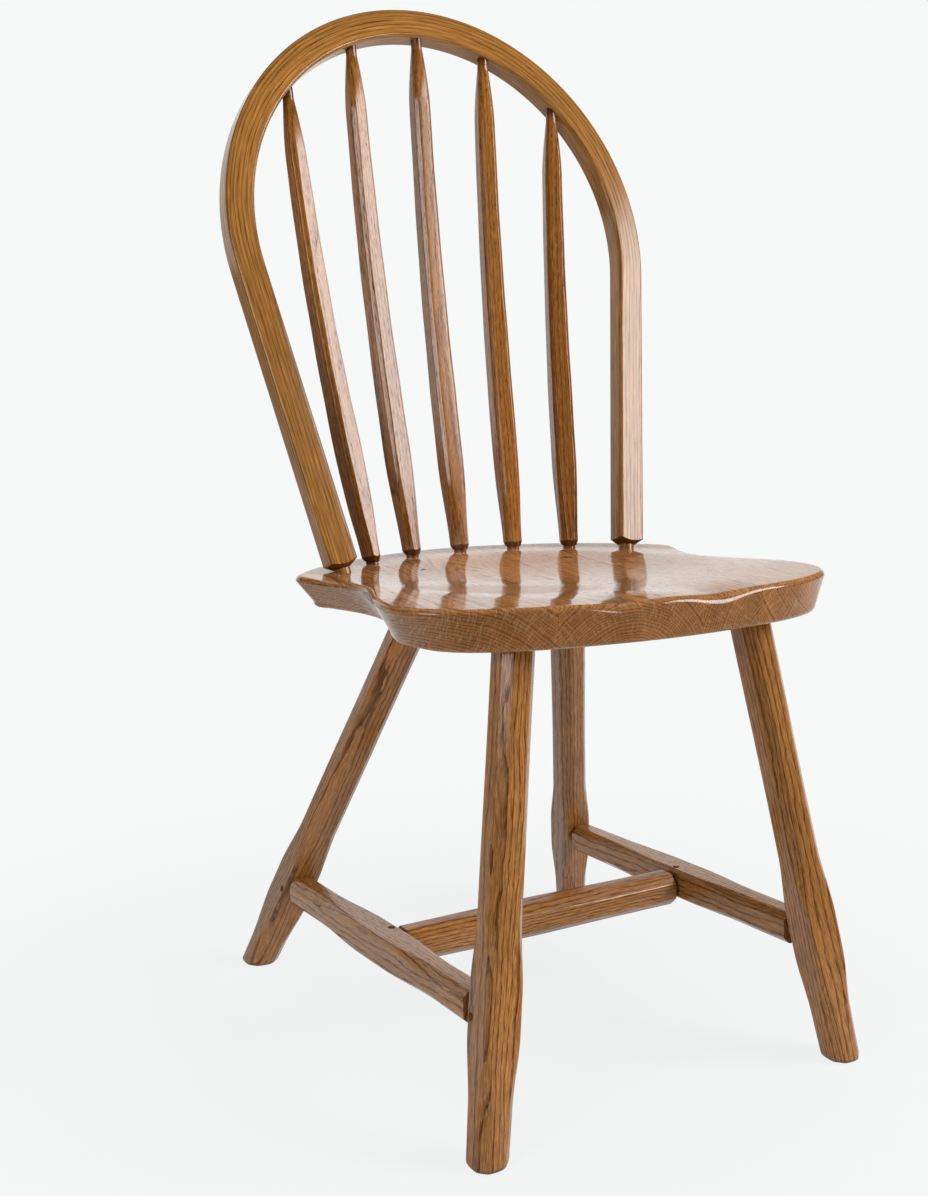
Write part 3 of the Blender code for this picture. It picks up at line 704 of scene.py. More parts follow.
@dataclass
class Seat:
    """The saddled seat of four glued boards."""

    height: float = 0.445
    thickness: float = 0.032
    back_y: float = 0.178
    corner_half_width: float = 0.217
    corner_y: float = 0.078
    corner_round: float = 0.010
    waist_half_width: float = 0.193
    waist_y: float = -0.012
    wide_half_width: float = 0.226
    wide_y: float = -0.130
    front_y: float = -0.222
    front_bow: float = 0.010
    front_turn_x: float = 0.110
    front_turn_slope: float = 0.16
    side_undercut: float = 0.016
    front_undercut: float = 0.002
    undercut_turn: float = 0.4
    bottom_round: float = 0.005
    edge_round: float = 0.0052
    front_rise: float = 0.0075
    deck_drop: float = 0.0035
    rim_rise: float = 0.0014
    dish_depth: float = 0.011
    dish_half_width: float = 0.185
    dish_half_length: float = 0.165
    dish_centre_y: float = -0.035
    dish_fall: float = 1.5
    scoop_depth: float = 0.003
    scoop_offset: float = 0.050
    scoop_half_width: float = 0.030
    scoop_length: float = 0.100
    scoop_roll: float = 0.0050
    joints_x: tuple[float, ...] = (-0.110, 0.030, 0.098)
    joint_gap: float = 0.0003
    arc_radius: float = 0.240
    arc_centre_y: float = -0.092
    arc_step: float = math.radians(14.4)
    spindle_count: int = 5
    curve_handle: float = 0.33
    turn_handle: float = 0.55
    steepest_slant: float = 0.6
    span_steps: tuple[int, ...] = (14, 4, 7, 8, 8, 8)
    finer: int = 3
    dish_rings: int = 44
    round_steps: int = 5
    # How dark the steep edges are drawn: stain in the front end grain, and painted shade on the long-grain
    # outer sides.
    edge_soak: float = 0.55
    soak_start: float = 0.5
    soak_run: float = 0.4
    # Painted shade: past this distance from the middle, the outer sides are darkened as if less light
    # reached them.
    shade_side_from: float = 0.150
    # Each board comes from another place in the log, so that the rings break at the glue lines.
    billets: tuple[Billet, ...] = (
        Billet(0.040, 0.120, 0.0, 0.3),
        Billet(0.003, 0.070, 0.0, 1.1),
        Billet(-0.070, 0.055, 0.0, 2.3),
        Billet(-0.065, -0.075, 0.0, 3.7),
    )

    @property
    def bottom(self) -> float:
        """Height of the seat's underside."""
        return self.height - self.thickness

    @cached_property
    def shift(self) -> float:
        """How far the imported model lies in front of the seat's own drawing."""
        return self.back_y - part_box("seat_board_2")[1].y

    def top(self, x: float, y: float) -> float:
        """Height of the saddled top.

        Args:
            x: distance to the right of the middle.
            y: distance behind the drawing's origin.

        Returns:
            The height above the floor.
        """
        span = (x / self.dish_half_width) ** 2 + ((y - self.dish_centre_y) / self.dish_half_length) ** 2
        dish = self.dish_depth * max(1 - span, 0) ** self.dish_fall
        scoop = self.scoop_depth * self.in_scoop(x, y)
        rise = self.front_rise * smooth_step((self.corner_y - y) / (self.corner_y - self.wide_y))
        back_radius = self.back_y - self.arc_centre_y
        from_back = back_radius - math.hypot(x, y - self.arc_centre_y)
        inside = smooth_step(from_back / (back_radius - self.arc_radius))
        deck = self.deck_drop - self.rim_rise * (1 - inside)
        return self.height + rise - deck - dish - scoop

    def in_scoop(self, x: float, y: float) -> float:
        """How far into a thigh scoop a point of the plan lies, from 0 to 1."""
        to_front = smooth_step((self.front_y + self.scoop_length - y) / self.scoop_length)
        return to_front * math.exp(-((abs(x) - self.scoop_offset) / self.scoop_half_width) ** 2)

    def arc_point(self, steps: float) -> Vector:
        """A point on the ring of sockets.

        Args:
            steps: its place, counted in sockets from the middle.

        Returns:
            The point, on the seat's top.
        """
        x = self.arc_radius * math.sin(steps * self.arc_step)
        y = self.arc_centre_y + self.arc_radius * math.cos(steps * self.arc_step)
        return Vector((x, y, self.top(x, y)))

    def outline(self) -> list[Vector]:
        """The seat's plan, clockwise from the middle of the back.

        Returns:
            Points in the plan, each once.
        """
        corner = Vector((self.corner_half_width, self.corner_y))
        waist = Vector((self.waist_half_width, self.waist_y))
        wide = Vector((self.wide_half_width, self.wide_y))
        back, front = Vector((0, self.back_y)), Vector((0, self.front_y))
        side_run, sideways = Vector((0, 1)), Vector((1, 0))
        back_slope = Vector((self.arc_centre_y - self.corner_y, self.corner_half_width)).normalized()
        before = corner + back_slope * self.corner_round
        side_slope = (waist - corner).normalized()
        after = corner + side_slope * self.corner_round
        turn = Vector((self.front_turn_x, self.front_y + self.front_bow))
        turn_slope = Vector((1, self.front_turn_slope)).normalized()
        back_reach = before.x * self.curve_handle
        round_reach = self.corner_round * self.turn_handle
        waist_reach = (after - waist).length * self.curve_handle
        wide_reach = (waist - wide).length * self.curve_handle
        side_reach = (wide.y - turn.y) * self.turn_handle
        turn_reach = (wide.x - turn.x) * self.turn_handle
        front_reach = turn.x * self.curve_handle
        spans = (
            (back, back + sideways * back_reach, before + back_slope * back_reach, before),
            (before, before - back_slope * round_reach, after - side_slope * round_reach, after),
            (after, after + side_slope * waist_reach, waist + side_run * waist_reach, waist),
            (waist, waist - side_run * wide_reach, wide + side_run * wide_reach, wide),
            (wide, wide - side_run * side_reach, turn + turn_slope * turn_reach, turn),
            (turn, turn - turn_slope * front_reach, front + sideways * front_reach, front),
        )
        half = []
        for span, steps in zip(spans, self.span_steps):
            half += interpolate_bezier(*span, steps * self.finer + 1)[:-1]
        mirrored = [Vector((-point.x, point.y)) for point in half[1:]]
        return half + [front] + mirrored[::-1]

    def form(self) -> list[list[Vector]]:
        """The whole seat as rings from the underside to the middle of the dish.

        Returns:
            The rings, each with a point for every point of the outline.
        """
        outline = self.outline()
        count = len(outline)
        runs = [outline[(k + 1) % count] - outline[k - 1] for k in range(count)]
        normals = [Vector((-run.y, run.x)).normalized() for run in runs]
        centre = Vector((0, (self.back_y + self.front_y) / 2))
        spokes = [(point - centre).normalized() for point in outline]
        slants = [max(spoke.dot(normal), self.steepest_slant) for spoke, normal in zip(spokes, normals)]

        def inset(distances: Sequence[float]) -> list[Vector]:
            """The outline drawn in by a distance at each point."""
            return [point - spoke * distance / slant
                    for point, spoke, distance, slant in zip(outline, spokes, distances, slants)]

        to_front = [(-normal.y - self.undercut_turn) / (1 - self.undercut_turn) for normal in normals]
        undercut = [mix(self.side_undercut, self.front_undercut, smooth_step(share)) for share in to_front]
        angles = [math.pi / 2 * k / self.round_steps for k in range(self.round_steps + 1)]
        rings = []
        for angle in reversed(angles):
            plan = inset([reach + self.bottom_round * (1 - math.cos(angle)) for reach in undercut])
            height = self.bottom + self.bottom_round * (1 - math.sin(angle))
            rings.append([Vector((*point, height)) for point in plan])
        rolls = [self.edge_round + self.scoop_roll * self.in_scoop(*point) for point in outline]
        for angle in angles:
            plan = inset([roll * (1 - math.cos(angle)) for roll in rolls])
            drops = [roll * (1 - math.sin(angle)) for roll in rolls]
            rings.append([Vector((*point, self.top(*point) - drop)) for point, drop in zip(plan, drops)])
        rim = inset(rolls)
        for step in range(1, self.dish_rings):
            plan = [point.lerp(centre, step / self.dish_rings) for point in rim]
            rings.append([Vector((*point, self.top(*point))) for point in plan])
        return rings

    def whole(self) -> bmesh.types.BMesh:
        """The seat as one body, before it is parted into boards.

        Returns:
            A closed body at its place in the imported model.
        """
        whole = bmesh.new()
        move = BACKWARD * self.shift
        loops = [[whole.verts.new(point - move) for point in ring] for ring in self.form()]
        for lower, upper in zip(loops, loops[1:]):
            for here in range(len(lower)):
                after = (here + 1) % len(lower)
                whole.faces.new((lower[after], lower[here], upper[here], upper[after]))
        whole.faces.new(loops[0])
        whole.faces.new(reversed(loops[-1]))
        return whole

    def parted(self, whole: bmesh.types.BMesh, left: float, right: float) -> bmesh.types.BMesh:
        """Cut one board out of the whole seat.

        Args:
            whole: the seat as one body.
            left: the board's left joint.
            right: its right joint.

        Returns:
            The board as a closed body of its own.
        """
        board = whole.copy()
        for x, keep in ((left + self.joint_gap / 2, -1), (right - self.joint_gap / 2, 1)):
            everything = [*board.verts, *board.edges, *board.faces]
            bmesh.ops.bisect_plane(
                board, geom=everything, plane_co=(x, 0, 0), plane_no=(keep, 0, 0), clear_outer=True)
            rim = [edge for edge in board.edges if edge.is_boundary]
            if rim:
                bmesh.ops.contextual_create(board, geom=rim)
        board.verts.index_update()
        board.normal_update()
        return board

    def soak_at(self, vert: bmesh.types.BMVert) -> float:
        """How dark the wood is drawn: stain taken up by the end grain on the front, and painted shade on
        the outer sides.

        Args:
            vert: a vertex of a board.

        Returns:
            The soak, from 0 to 1.
        """
        # Painted shade: the outer sides are long grain that takes no more stain, and are darkened here as
        # if in less light.
        sideways = abs(vert.normal.x) if abs(vert.co.x) > self.shade_side_from else 0
        steep = max(-vert.normal.y, sideways)
        return self.edge_soak * smooth_step((steep - self.soak_start) / self.soak_run)

    def build(self) -> list[Piece]:
        """Part the seat into its boards and dress them.

        Returns:
            The boards, from left to right.
        """
        material = SEAT_FINISH.material()
        reach = self.wide_half_width * 2
        edges = [-reach, *self.joints_x, reach]
        whole = self.whole()
        boards = []
        for number, (left, right) in enumerate(zip(edges, edges[1:]), start=1):
            board = self.parted(whole, left, right)
            points = [vert.co.copy() for vert in board.verts]
            faces = [[vert.index for vert in face.verts] for face in board.faces]
            middle = (max(left, -self.wide_half_width) + min(right, self.wide_half_width)) / 2
            billet = self.billets[number - 1]
            grain = [billet.grain(point.y, point.x - middle, point.z - self.height) for point in points]
            soak = [self.soak_at(vert) for vert in board.verts]
            board.free()
            node = f"seat_board_{number}"
            piece = mesh_object(node + "_oak", points, faces, grain, soak)
            boards.append(dress(piece, node, Slot.SEAT, material))
        whole.free()
        return boards


# Back


@dataclass
class Hoop:
    """The bent bow of the back: one arc on two straight legs."""

    seat: Seat
    recline: float = math.radians(17.0)
    radius: float = 0.2223
    centre_rise: float = 0.3372
    width: float = 0.029
    depth: float = 0.0225
    forward: float = 0.00125
    chamfer: float = 0.0020
    ease: float = 0.0012
    neck: float = 0.0035
    shoulder: float = 0.0034
    shoulder_edge: float = 0.0005
    tip_radius: float = 0.0090
    tenon_radius: float = 0.0080
    tenon_length: float = 0.026
    plain_above: float = 0.012
    leg_steps: int = 16
    arc_steps: int = 110
    scallop: float = 0.45
    tenon_soak: float = 0.2
    shoulder_soak: float = 0.8
    billet: Billet = Billet(0.010, 0.055, 0.35, 5.0)

    @property
    def up(self) -> Vector:
        """The hoop plane's own upward direction."""
        return Vector((0, math.sin(self.recline), math.cos(self.recline)))

    @property
    def back(self) -> Vector:
        """The direction square to the hoop's plane, away from the sitter."""
        return Vector((0, math.cos(self.recline), -math.sin(self.recline)))

    @property
    def foot(self) -> Vector:
        """Where the right leg meets the seat."""
        return self.seat.arc_point((self.seat.spindle_count + 1) / 2)

    @property
    def start(self) -> float:
        """The angle at which the arc leaves the right leg."""
        reach = math.hypot(self.foot.x, self.centre_rise)
        return math.acos(self.radius / reach) - math.atan2(self.centre_rise, self.foot.x)

    def plane(self, x: float, rise: float) -> Vector:
        """A point of the hoop's middle plane."""
        return Vector((x, self.foot.y, self.foot.z)) + self.up * rise

    def on_arc(self, angle: float) -> Vector:
        """A point of the arc's middle line."""
        return self.plane(self.radius * math.cos(angle), self.centre_rise + self.radius * math.sin(angle))

    def leg(self, body: Section, run: Vector, length: float) -> list[Station]:
        """The right leg, from its tenon up to the arc.

        Args:
            body: the bow's section.
            run: the leg's direction.
            length: its length above the seat.

        Returns:
            The leg's sections, upwards.
        """
        tenon, tip = rounded(body, self.tenon_radius), rounded(body, self.tip_radius)
        top = self.neck + self.shoulder
        rows = [
            (-self.tenon_length, tenon, self.tenon_soak, 0),
            (self.neck, tenon, self.tenon_soak, 0),
            (self.neck + self.shoulder_edge, tip, 1, 0),
            (top, body, self.shoulder_soak, self.scallop),
            (top + CUT_RUN, body, 0, self.scallop),
        ]
        for step in range(self.leg_steps):
            rows.append((mix(top + self.plain_above, length, step / self.leg_steps), body, 0, 0))
        return [Station(self.foot + run * along, run, section, along, soak, lift=lift)
                for along, section, soak, lift in rows]

    def arc(self, body: Section, along: float) -> list[Station]:
        """The arc, from the right leg over to the left one.

        Args:
            body: the bow's section.
            along: distance along the bow at which the arc begins.

        Returns:
            The arc's sections.
        """
        stations = []
        for step in range(self.arc_steps + 1):
            angle = mix(self.start, math.pi - self.start, step / self.arc_steps)
            run = self.up * math.cos(angle) - ACROSS * math.sin(angle)
            travel = along + self.radius * (angle - self.start)
            stations.append(Station(self.on_arc(angle), run, body, travel))
        return stations

    def build(self) -> list[Piece]:
        """Loft the bow from its right foot to its left one.

        Returns:
            The hoop alone, in a list.
        """
        body = chamfered(self.width, self.depth, self.chamfer, self.ease)
        rise = self.on_arc(self.start) - self.foot
        run, length = rise.normalized(), rise.length
        right, arc = self.leg(body, run, length), self.arc(body, length)
        total = arc[-1].along + length
        left = []
        for station in reversed(right):
            point, way = station.point.copy(), -run
            point.x, way.x = -point.x, -way.x
            along = total - station.along
            left.append(Station(point, way, station.section, along, station.soak, lift=-station.lift))
        stations = right + arc + left
        for station in stations:
            station.point = station.point - BACKWARD * self.seat.shift
            # The tenons stay in their sockets, and the bow itself stands a little forward.
            if station.section is body:
                station.point = station.point - self.back * self.forward
        piece = loft("hoop_oak", stations, self.back, self.billet)
        return [dress(piece, "hoop", Slot.HOOP, HOOP_FINISH.material())]


@dataclass
class Spindles:
    """The bowed sticks between the seat and the hoop."""

    seat: Seat
    hoop: Hoop
    top_step: float = 0.0765
    top_forward: float = 0.003
    bow: float = 0.0100
    bow_skew: float = 1.1
    turn: float = 0.5
    foot_width: float = 0.0185
    belly_width: float = 0.0226
    upper_width: float = 0.0186
    neck_width: float = 0.0112
    neck_bulge: float = 1.5
    neck_length: float = 0.065
    neck_straight: float = 0.0085
    chamfer: float = 0.0037
    foot_chamfer: float = 0.0056
    ease: float = 0.0006
    foot_run: float = 0.14
    foot_gap: float = 0.0025
    tip_lift: float = 0.0003
    shoulder: float = 0.0035
    shoulder_taper: float = 0.84
    tenon_radius: float = 0.0065
    foot_tenon_length: float = 0.022
    top_tenon_length: float = 0.010
    swell_share: float = 0.22
    taper_start: float = 0.35
    steps: int = 72
    neck_steps: int = 16
    run_step: float = 0.001
    scallop: float = 2.2
    waves: Wobble = Wobble(0.07, 31)
    wave_turn: float = 2.1
    ripples: Wobble = Wobble(0.05, 13)
    stains: tuple[float, ...] = (0.0, 0.0, 0.0, 0.0, 0.3)
    tenon_soak: float = 0.3
    shoulder_soak: float = 0.9
    # The neck darkens towards the hoop: stain at the joint, and painted shade where the neck enters the
    # hoop.
    neck_soak: float = 0.3
    neck_soak_fall: int = 4
    sawing: Sawing = Sawing(reach=0.030, swing=2.4, turn=0.7, start=7.0)

    def facing(self, number: int) -> Vector:
        """The way the back of a spindle faces."""
        turn = (number - (self.seat.spindle_count + 1) / 2) * self.seat.arc_step * self.turn
        return Vector((math.sin(turn), math.cos(turn), 0))

    def path(self, number: int) -> Callable[[float], Vector]:
        """The bowed centre line of a spindle.

        Args:
            number: the spindle's number, from the left.

        Returns:
            A function from the share of the length to a point.
        """
        steps = number - (self.seat.spindle_count + 1) / 2
        foot = self.seat.arc_point(steps)
        inner = self.hoop.radius - self.hoop.width / 2
        top_x = steps * self.top_step
        top = self.hoop.plane(top_x, self.hoop.centre_rise + math.sqrt(inner ** 2 - top_x ** 2))
        top -= self.hoop.back * self.top_forward
        chord = (top - foot).normalized()
        facing = self.facing(number)
        bow_way = (facing - chord * facing.dot(chord)).normalized()
        shift = BACKWARD * self.seat.shift

        def point_at(share: float) -> Vector:
            """A point of the centre line."""
            swing = math.sin(math.pi * share ** self.bow_skew)
            return foot + (top - foot) * share + bow_way * self.bow * swing - shift

        return point_at

    def width_at(self, rise: float) -> float:
        """The stick's width.

        Args:
            rise: the share of its squared part that lies below.

        Returns:
            The width, largest at the belly.
        """
        swell = smooth_step(rise / self.swell_share)
        thinning = max(rise - self.taper_start, 0) / (1 - self.taper_start)
        return mix(mix(self.foot_width, self.belly_width, swell), self.upper_width, thinning)

    def stock(self, number: int, rise: float) -> Section:
        """The stick's section, with the unevenness of chamfers cut by hand.

        Args:
            number: the spindle's number, from the left.
            rise: the share of its squared part that lies below.

        Returns:
            The section.
        """
        width = self.width_at(rise)
        hand = 1 + self.waves.at(rise, self.wave_turn * number) + self.ripples.at(rise, number)
        chamfer = mix(self.foot_chamfer, self.chamfer * hand, smooth_step(rise / self.foot_run))
        return chamfered(width, width, chamfer, self.ease)

    def foot(self, seat: Vector, edge: Vector, run: Vector, body: Section) -> list[Station]:
        """The foot, with its tenon and its scalloped shoulder.

        Args:
            seat: where the centre line meets the seat.
            edge: where the shoulder ends.
            run: the foot's direction.
            body: the section above the shoulder.

        Returns:
            The foot's sections, upwards.
        """
        tenon = rounded(body, self.tenon_radius)
        tip = rounded(body, self.foot_width * self.shoulder_taper / 2)
        level, depth = seat.z + self.foot_gap, self.foot_tenon_length
        return [
            Station(seat - run * depth, run, tenon, -depth, self.tenon_soak),
            Station(seat, run, tenon, 0, self.tenon_soak, level),
            Station(seat, run, tip, 0, 1, level + self.tip_lift),
            Station(edge, run, body, self.shoulder, self.shoulder_soak, lift=self.scallop),
            Station(edge + run * CUT_RUN, run, body, self.shoulder, 0, lift=self.scallop),
        ]

    def stick(self, number: int, material: Material) -> Piece:
        """Loft one spindle and dress it.

        Args:
            number: the spindle's number, from the left.
            material: its finish.

        Returns:
            The spindle.
        """
        path, stain = self.path(number), self.stains[number - 1]

        def run_at(share: float) -> Vector:
            """The centre line's direction, within its ends."""
            return (path(min(share + self.run_step, 1)) - path(max(share - self.run_step, 0))).normalized()

        length = (path(1) - path(0)).length
        start = (self.foot_gap + self.shoulder) / length
        stop = 1 - self.neck_length / length
        body = chamfered(self.width_at(0), self.width_at(0), self.foot_chamfer, self.ease)
        stations = self.foot(path(0), path(start), run_at(0), body)
        for step in range(1, self.steps + 1):
            rise = step / self.steps
            share = mix(start, stop, rise)
            body = self.stock(number, rise)
            stations.append(Station(path(share), run_at(share), body, share * length, stain))
        neck = rounded(body, self.neck_width / 2)
        neck_base = 1 - self.neck_straight / length
        for step in range(1, self.neck_steps + 1):
            rise = step / self.neck_steps
            share = mix(stop, neck_base, rise)
            section = between(body, neck, rise ** self.neck_bulge)
            # Darker towards the hoop: partly stain at the joint, partly painted shade of the joint.
            soak = max(stain, self.neck_soak * rise ** self.neck_soak_fall)
            stations.append(Station(path(share), run_at(share), section, share * length, soak))
        top_run, end = run_at(1), length + self.top_tenon_length
        # Darkest where the neck enters the hoop: a dark joint with painted shade over it.
        stations.append(Station(path(1), top_run, neck, length, 1))
        stations.append(Station(path(1) + top_run * self.top_tenon_length, top_run, neck, end, 1))
        piece = loft(f"spindle_{number}_oak", stations, self.facing(number), self.sawing.billet(number))
        return dress(piece, f"spindle_{number}", Slot.SPINDLE, material)

    def build(self) -> list[Piece]:
        """All the spindles, from the left."""
        material = SPINDLE_FINISH.material()
        return [self.stick(number, material) for number in range(1, self.seat.spindle_count + 1)]


# Underframe


@dataclass(frozen=True)
class LegPair:
    """Where the two legs at one end of the chair stand."""

    feet_apart: float
    sockets_apart: float
    socket_y: float
    joint_height: float


LEG_PAIRS = {
    End.FRONT: LegPair(feet_apart=0.381, sockets_apart=0.248, socket_y=-0.165, joint_height=0.1165),
    End.REAR: LegPair(feet_apart=0.401, sockets_apart=0.167, socket_y=0.0726, joint_height=0.093),
}


@dataclass
class Leg:
    """The line of one leg and its chamfered stock."""

    seat: Seat
    end: End
    side: Side
    width: float = 0.0335
    chamfer: float = 0.0085
    joint_chamfer: float = 0.0020
    ease: float = 0.0016
    wobble: Wobble = Wobble(0.05, 23)
    foot_bevel: float = 0.0050
    foot_rings: tuple[float, ...] = (0.15, 0.35, 0.55, 0.75, 1.0)
    foot_wear: float = 0.5
    foot_wear_run: float = 0.050
    stop_below: float = 0.015
    stop_above: float = 0.020
    stop_run: float = 0.060
    head_gap: float = 0.0003
    tenon_radius: float = 0.0125
    tenon_length: float = 0.024
    feet_depth: float = 0.473
    step: float = 0.006
    # Painted shade: a darkening all along the leg, in place of the shadow that the seat casts on it.
    stain: float = 0.0
    sawing: Sawing = Sawing(reach=0.055, swing=1.3, turn=0.4, start=20.0)

    def __post_init__(self) -> None:
        """Work out the leg's line and the axes of its section."""
        pair, sign = LEG_PAIRS[self.end], self.side.value
        shift = BACKWARD * self.seat.shift
        self.foot = Vector((sign * pair.feet_apart / 2, self.end.value * self.feet_depth / 2, 0)) - shift
        socket = Vector((sign * pair.sockets_apart / 2, pair.socket_y, self.seat.bottom)) - shift
        self.axis = (socket - self.foot).normalized()
        self.deep = (BACKWARD - self.axis * BACKWARD.dot(self.axis)).normalized()
        self.across = self.deep.cross(self.axis)
        self.inward = self.deep * -self.end.value
        self.joint = self.at_height(pair.joint_height)

    @property
    def place(self) -> str:
        """Which leg this is, as the nodes write it."""
        return f"{self.end.word}_{self.side.word}"

    def at_height(self, height: float) -> Vector:
        """The point of the leg's line at a height above the floor."""
        return self.foot + self.axis * (height / self.axis.z)

    def chamfer_at(self, along: float) -> float:
        """The chamfer's size by the distance from the stretcher joint.

        Args:
            along: distance up the leg from the joint.

        Returns:
            The chamfer, which stops short of the joint.
        """
        past = along - self.stop_above if along > 0 else -along - self.stop_below
        # The phase differs from leg to leg, so that no two are cut alike.
        hand = 1 + self.wobble.at(along, self.side.value + 3 * self.end.value)
        return mix(self.joint_chamfer, self.chamfer * hand, smooth_step(past / self.stop_run))

    def stock(self, along: float) -> Section:
        """The leg's section, worn rounder at the floor.

        Args:
            along: distance up the leg from the foot.

        Returns:
            The section.
        """
        joint_along = (self.joint - self.foot).length
        sawn = chamfered(self.width, self.width, self.chamfer_at(along - joint_along), self.ease)
        worn = self.foot_wear * (1 - smooth_step(along / self.foot_wear_run))
        return between(sawn, rounded(sawn, self.width / 2), worn)

    def build(self, material: Material) -> Piece:
        """Loft the leg and dress it.

        Args:
            material: its finish.

        Returns:
            The leg.
        """
        top = self.seat.bottom - self.head_gap
        last = (self.at_height(top) - self.foot).length
        foot = self.stock(0)
        sole = scaled(foot, 1 - 2 * self.foot_bevel / self.width)
        stations = [Station(self.foot, self.axis, sole, 0, 1, 0.0)]
        for share in self.foot_rings:
            turn = math.pi / 2 * share
            section = between(sole, foot, math.sin(turn))
            height = self.foot_bevel * (1 - math.cos(turn))
            soak = min(1, 2 * (1 - share))
            stations.append(Station(self.at_height(height), self.axis, section, height, soak, height))
        count = round((last - 2 * self.width) / self.step)
        places = [mix(self.width / 2, last - self.width / 2, k / count) for k in range(count + 1)]
        # The leg's stain value, here and at its head, is painted shade that darkens its whole length.
        rows = [(along, self.stock(along), self.stain) for along in places]
        stations += straight(self.foot, self.axis, rows)
        head = self.stock(last)
        tenon = rounded(head, self.tenon_radius)
        end = last + self.tenon_length
        stations += [
            Station(self.at_height(top), self.axis, head, last, self.stain, top),
            Station(self.at_height(top), self.axis, tenon, last, 1, top),
            Station(self.foot + self.axis * end, self.axis, tenon, end, 1),
        ]
        billet = self.sawing.billet(self.side.value + 2 * self.end.value)
        piece = loft(f"leg_{self.place}_oak", stations, BACKWARD, billet)
        return dress(piece, f"leg_{self.place}", Slot.LEG, material)


@dataclass
class Underframe:
    """The four legs, the three stretchers and the pins that lock them."""

    seat: Seat
    side_width: float = 0.0295
    side_end_chamfer: float = 0.0065
    side_middle_chamfer: float = 0.0020
    side_wobble: Wobble = Wobble(0.10, 29)
    side_tenon_radius: float = 0.010
    side_tenon_past: float = 0.007
    side_front_gap: float = 0.007
    side_square_half: float = 0.025
    side_stop_run: float = 0.090
    side_front_soak: Pair = (0.2, 0.5)
    side_billet: Billet = Billet(0.035, 0.040, 0.5, 50.0)
    cross_y: float = -0.015
    cross_drop: float = 0.0045
    cross_end_width: float = 0.0325
    cross_middle_width: float = 0.034
    cross_chamfer: float = 0.0085
    cross_wobble: Wobble = Wobble(0.06, 27)
    cross_wobble_phase: float = 1.0
    cross_shoulder: float = 0.005
    cross_tenon_radius: float = 0.007
    cross_tenon_past: float = 0.005
    cross_billet: Billet = Billet(-0.03, 0.05, 0.9, 60.0)
    shoulder_taper: float = 0.84
    shoulder_soak: float = 0.6
    rail_ease: float = 0.0014
    rail_edge: float = 0.0008
    fit_gap: float = 0.0003
    step: float = 0.006
    pin_radius: float = 0.0034
    pin_facet: float = 0.58
    pin_ease: float = 0.0004
    pin_proud: float = 0.0004
    pin_setback: float = 0.0065
    pin_drop: float = 0.003
    pin_billet: Billet = Billet(0.02, 0.02, 0.3, 40.0)
    # Distance below the head, share of the radius, and soak.
    pin_rings: tuple[Triple, ...] = (
        (0.024, 0.9, 0.0), (0.0006, 1.0, 1.0), (0.0001, 0.92, 1.0), (0.0, 0.70, 0.1),
    )
    # Painted shade: the rear right leg is drawn darker all along, standing in for the seat's shadow over
    # it.
    leg_stain: dict[tuple[End, Side], float] = field(default_factory=lambda: {(End.REAR, Side.RIGHT): 0.15})

    @cached_property
    def legs(self) -> dict[tuple[End, Side], Leg]:
        """The four legs, by end and side."""
        places = [(end, side) for end in End for side in Side]
        return {place: Leg(self.seat, *place, stain=self.leg_stain.get(place, 0)) for place in places}

    @cached_property
    def rail_oak(self) -> Material:
        """The stretchers' finish."""
        return STRETCHER_FINISH.material()

    @cached_property
    def pin_oak(self) -> Material:
        """The pins' finish."""
        return PIN_FINISH.material()

    def stop_at(self, run: Vector, leg: Leg) -> float:
        """How far from a leg's line a side stretcher's shoulder must stop.

        Args:
            run: the stretcher's direction, away from the leg.
            leg: the leg that it meets.

        Returns:
            The distance along the run.
        """
        deep = (UP - run * UP.dot(run)).normalized()
        across = deep.cross(run)
        corner = self.side_width / 2 * (abs(across.dot(leg.inward)) + abs(deep.dot(leg.inward)))
        return (leg.width / 2 + self.fit_gap + corner) / run.dot(leg.inward)

    def middle(self, first: float, last: float, stock: Callable[[float], Section]) -> list[Row]:
        """The rows of a rail between its shoulders.

        Args:
            first: distance of the first shoulder.
            last: distance of the last one.
            stock: the rail's section at a distance.

        Returns:
            Rows of distance, section and soak.
        """
        count = round((last - first) / self.step)
        places = [mix(first + self.rail_edge, last - self.rail_edge, k / count) for k in range(count + 1)]
        return [(along, stock(along), 0.0) for along in places]

    def pin(self, name: str, centre: Vector, out: Vector, hint: Vector, face: float) -> Piece:
        """A peg driven in from a face, its head left a little proud and whittled.

        Args:
            name: the node's name.
            centre: a point of the pin's line.
            out: the way its head faces.
            hint: the direction that its section's depth follows.
            face: distance from the centre to the face that it is driven into.

        Returns:
            The pin.
        """
        width = 2 * self.pin_radius
        section = chamfered(width, width, self.pin_facet * self.pin_radius, self.pin_ease)
        head = face + self.pin_proud
        rows = [(head - below, scaled(section, share), soak) for below, share, soak in self.pin_rings]
        piece = loft(name + "_oak", straight(centre, out, rows), hint, self.pin_billet)
        return dress(piece, name, Slot.PIN, self.pin_oak)

    def side_stretcher(self, side: Side) -> tuple[list[Piece], Vector]:
        """The rail between a rear and a front leg, square where the cross rail joins it.

        Args:
            side: which side of the chair.

        Returns:
            The rail and its pins, and the point where the cross rail meets it.
        """
        rear, front = self.legs[End.REAR, side], self.legs[End.FRONT, side]
        run = (front.joint - rear.joint).normalized()
        length = (front.joint - rear.joint).length
        first = self.stop_at(run, rear)
        last = length - self.stop_at(-run, front) - self.side_front_gap
        crossing = (self.cross_y - self.seat.shift - rear.joint.y) / run.y

        def stock(along: float) -> Section:
            """The rail's section.

            Args:
                along: distance from the rear joint.

            Returns:
                The section.
            """
            past = abs(along - crossing) - self.side_square_half
            wide = self.side_end_chamfer * (1 + self.side_wobble.at(along, side.value))
            chamfer = mix(self.side_middle_chamfer, wide, smooth_step(past / self.side_stop_run))
            return chamfered(self.side_width, self.side_width, chamfer, self.rail_ease)

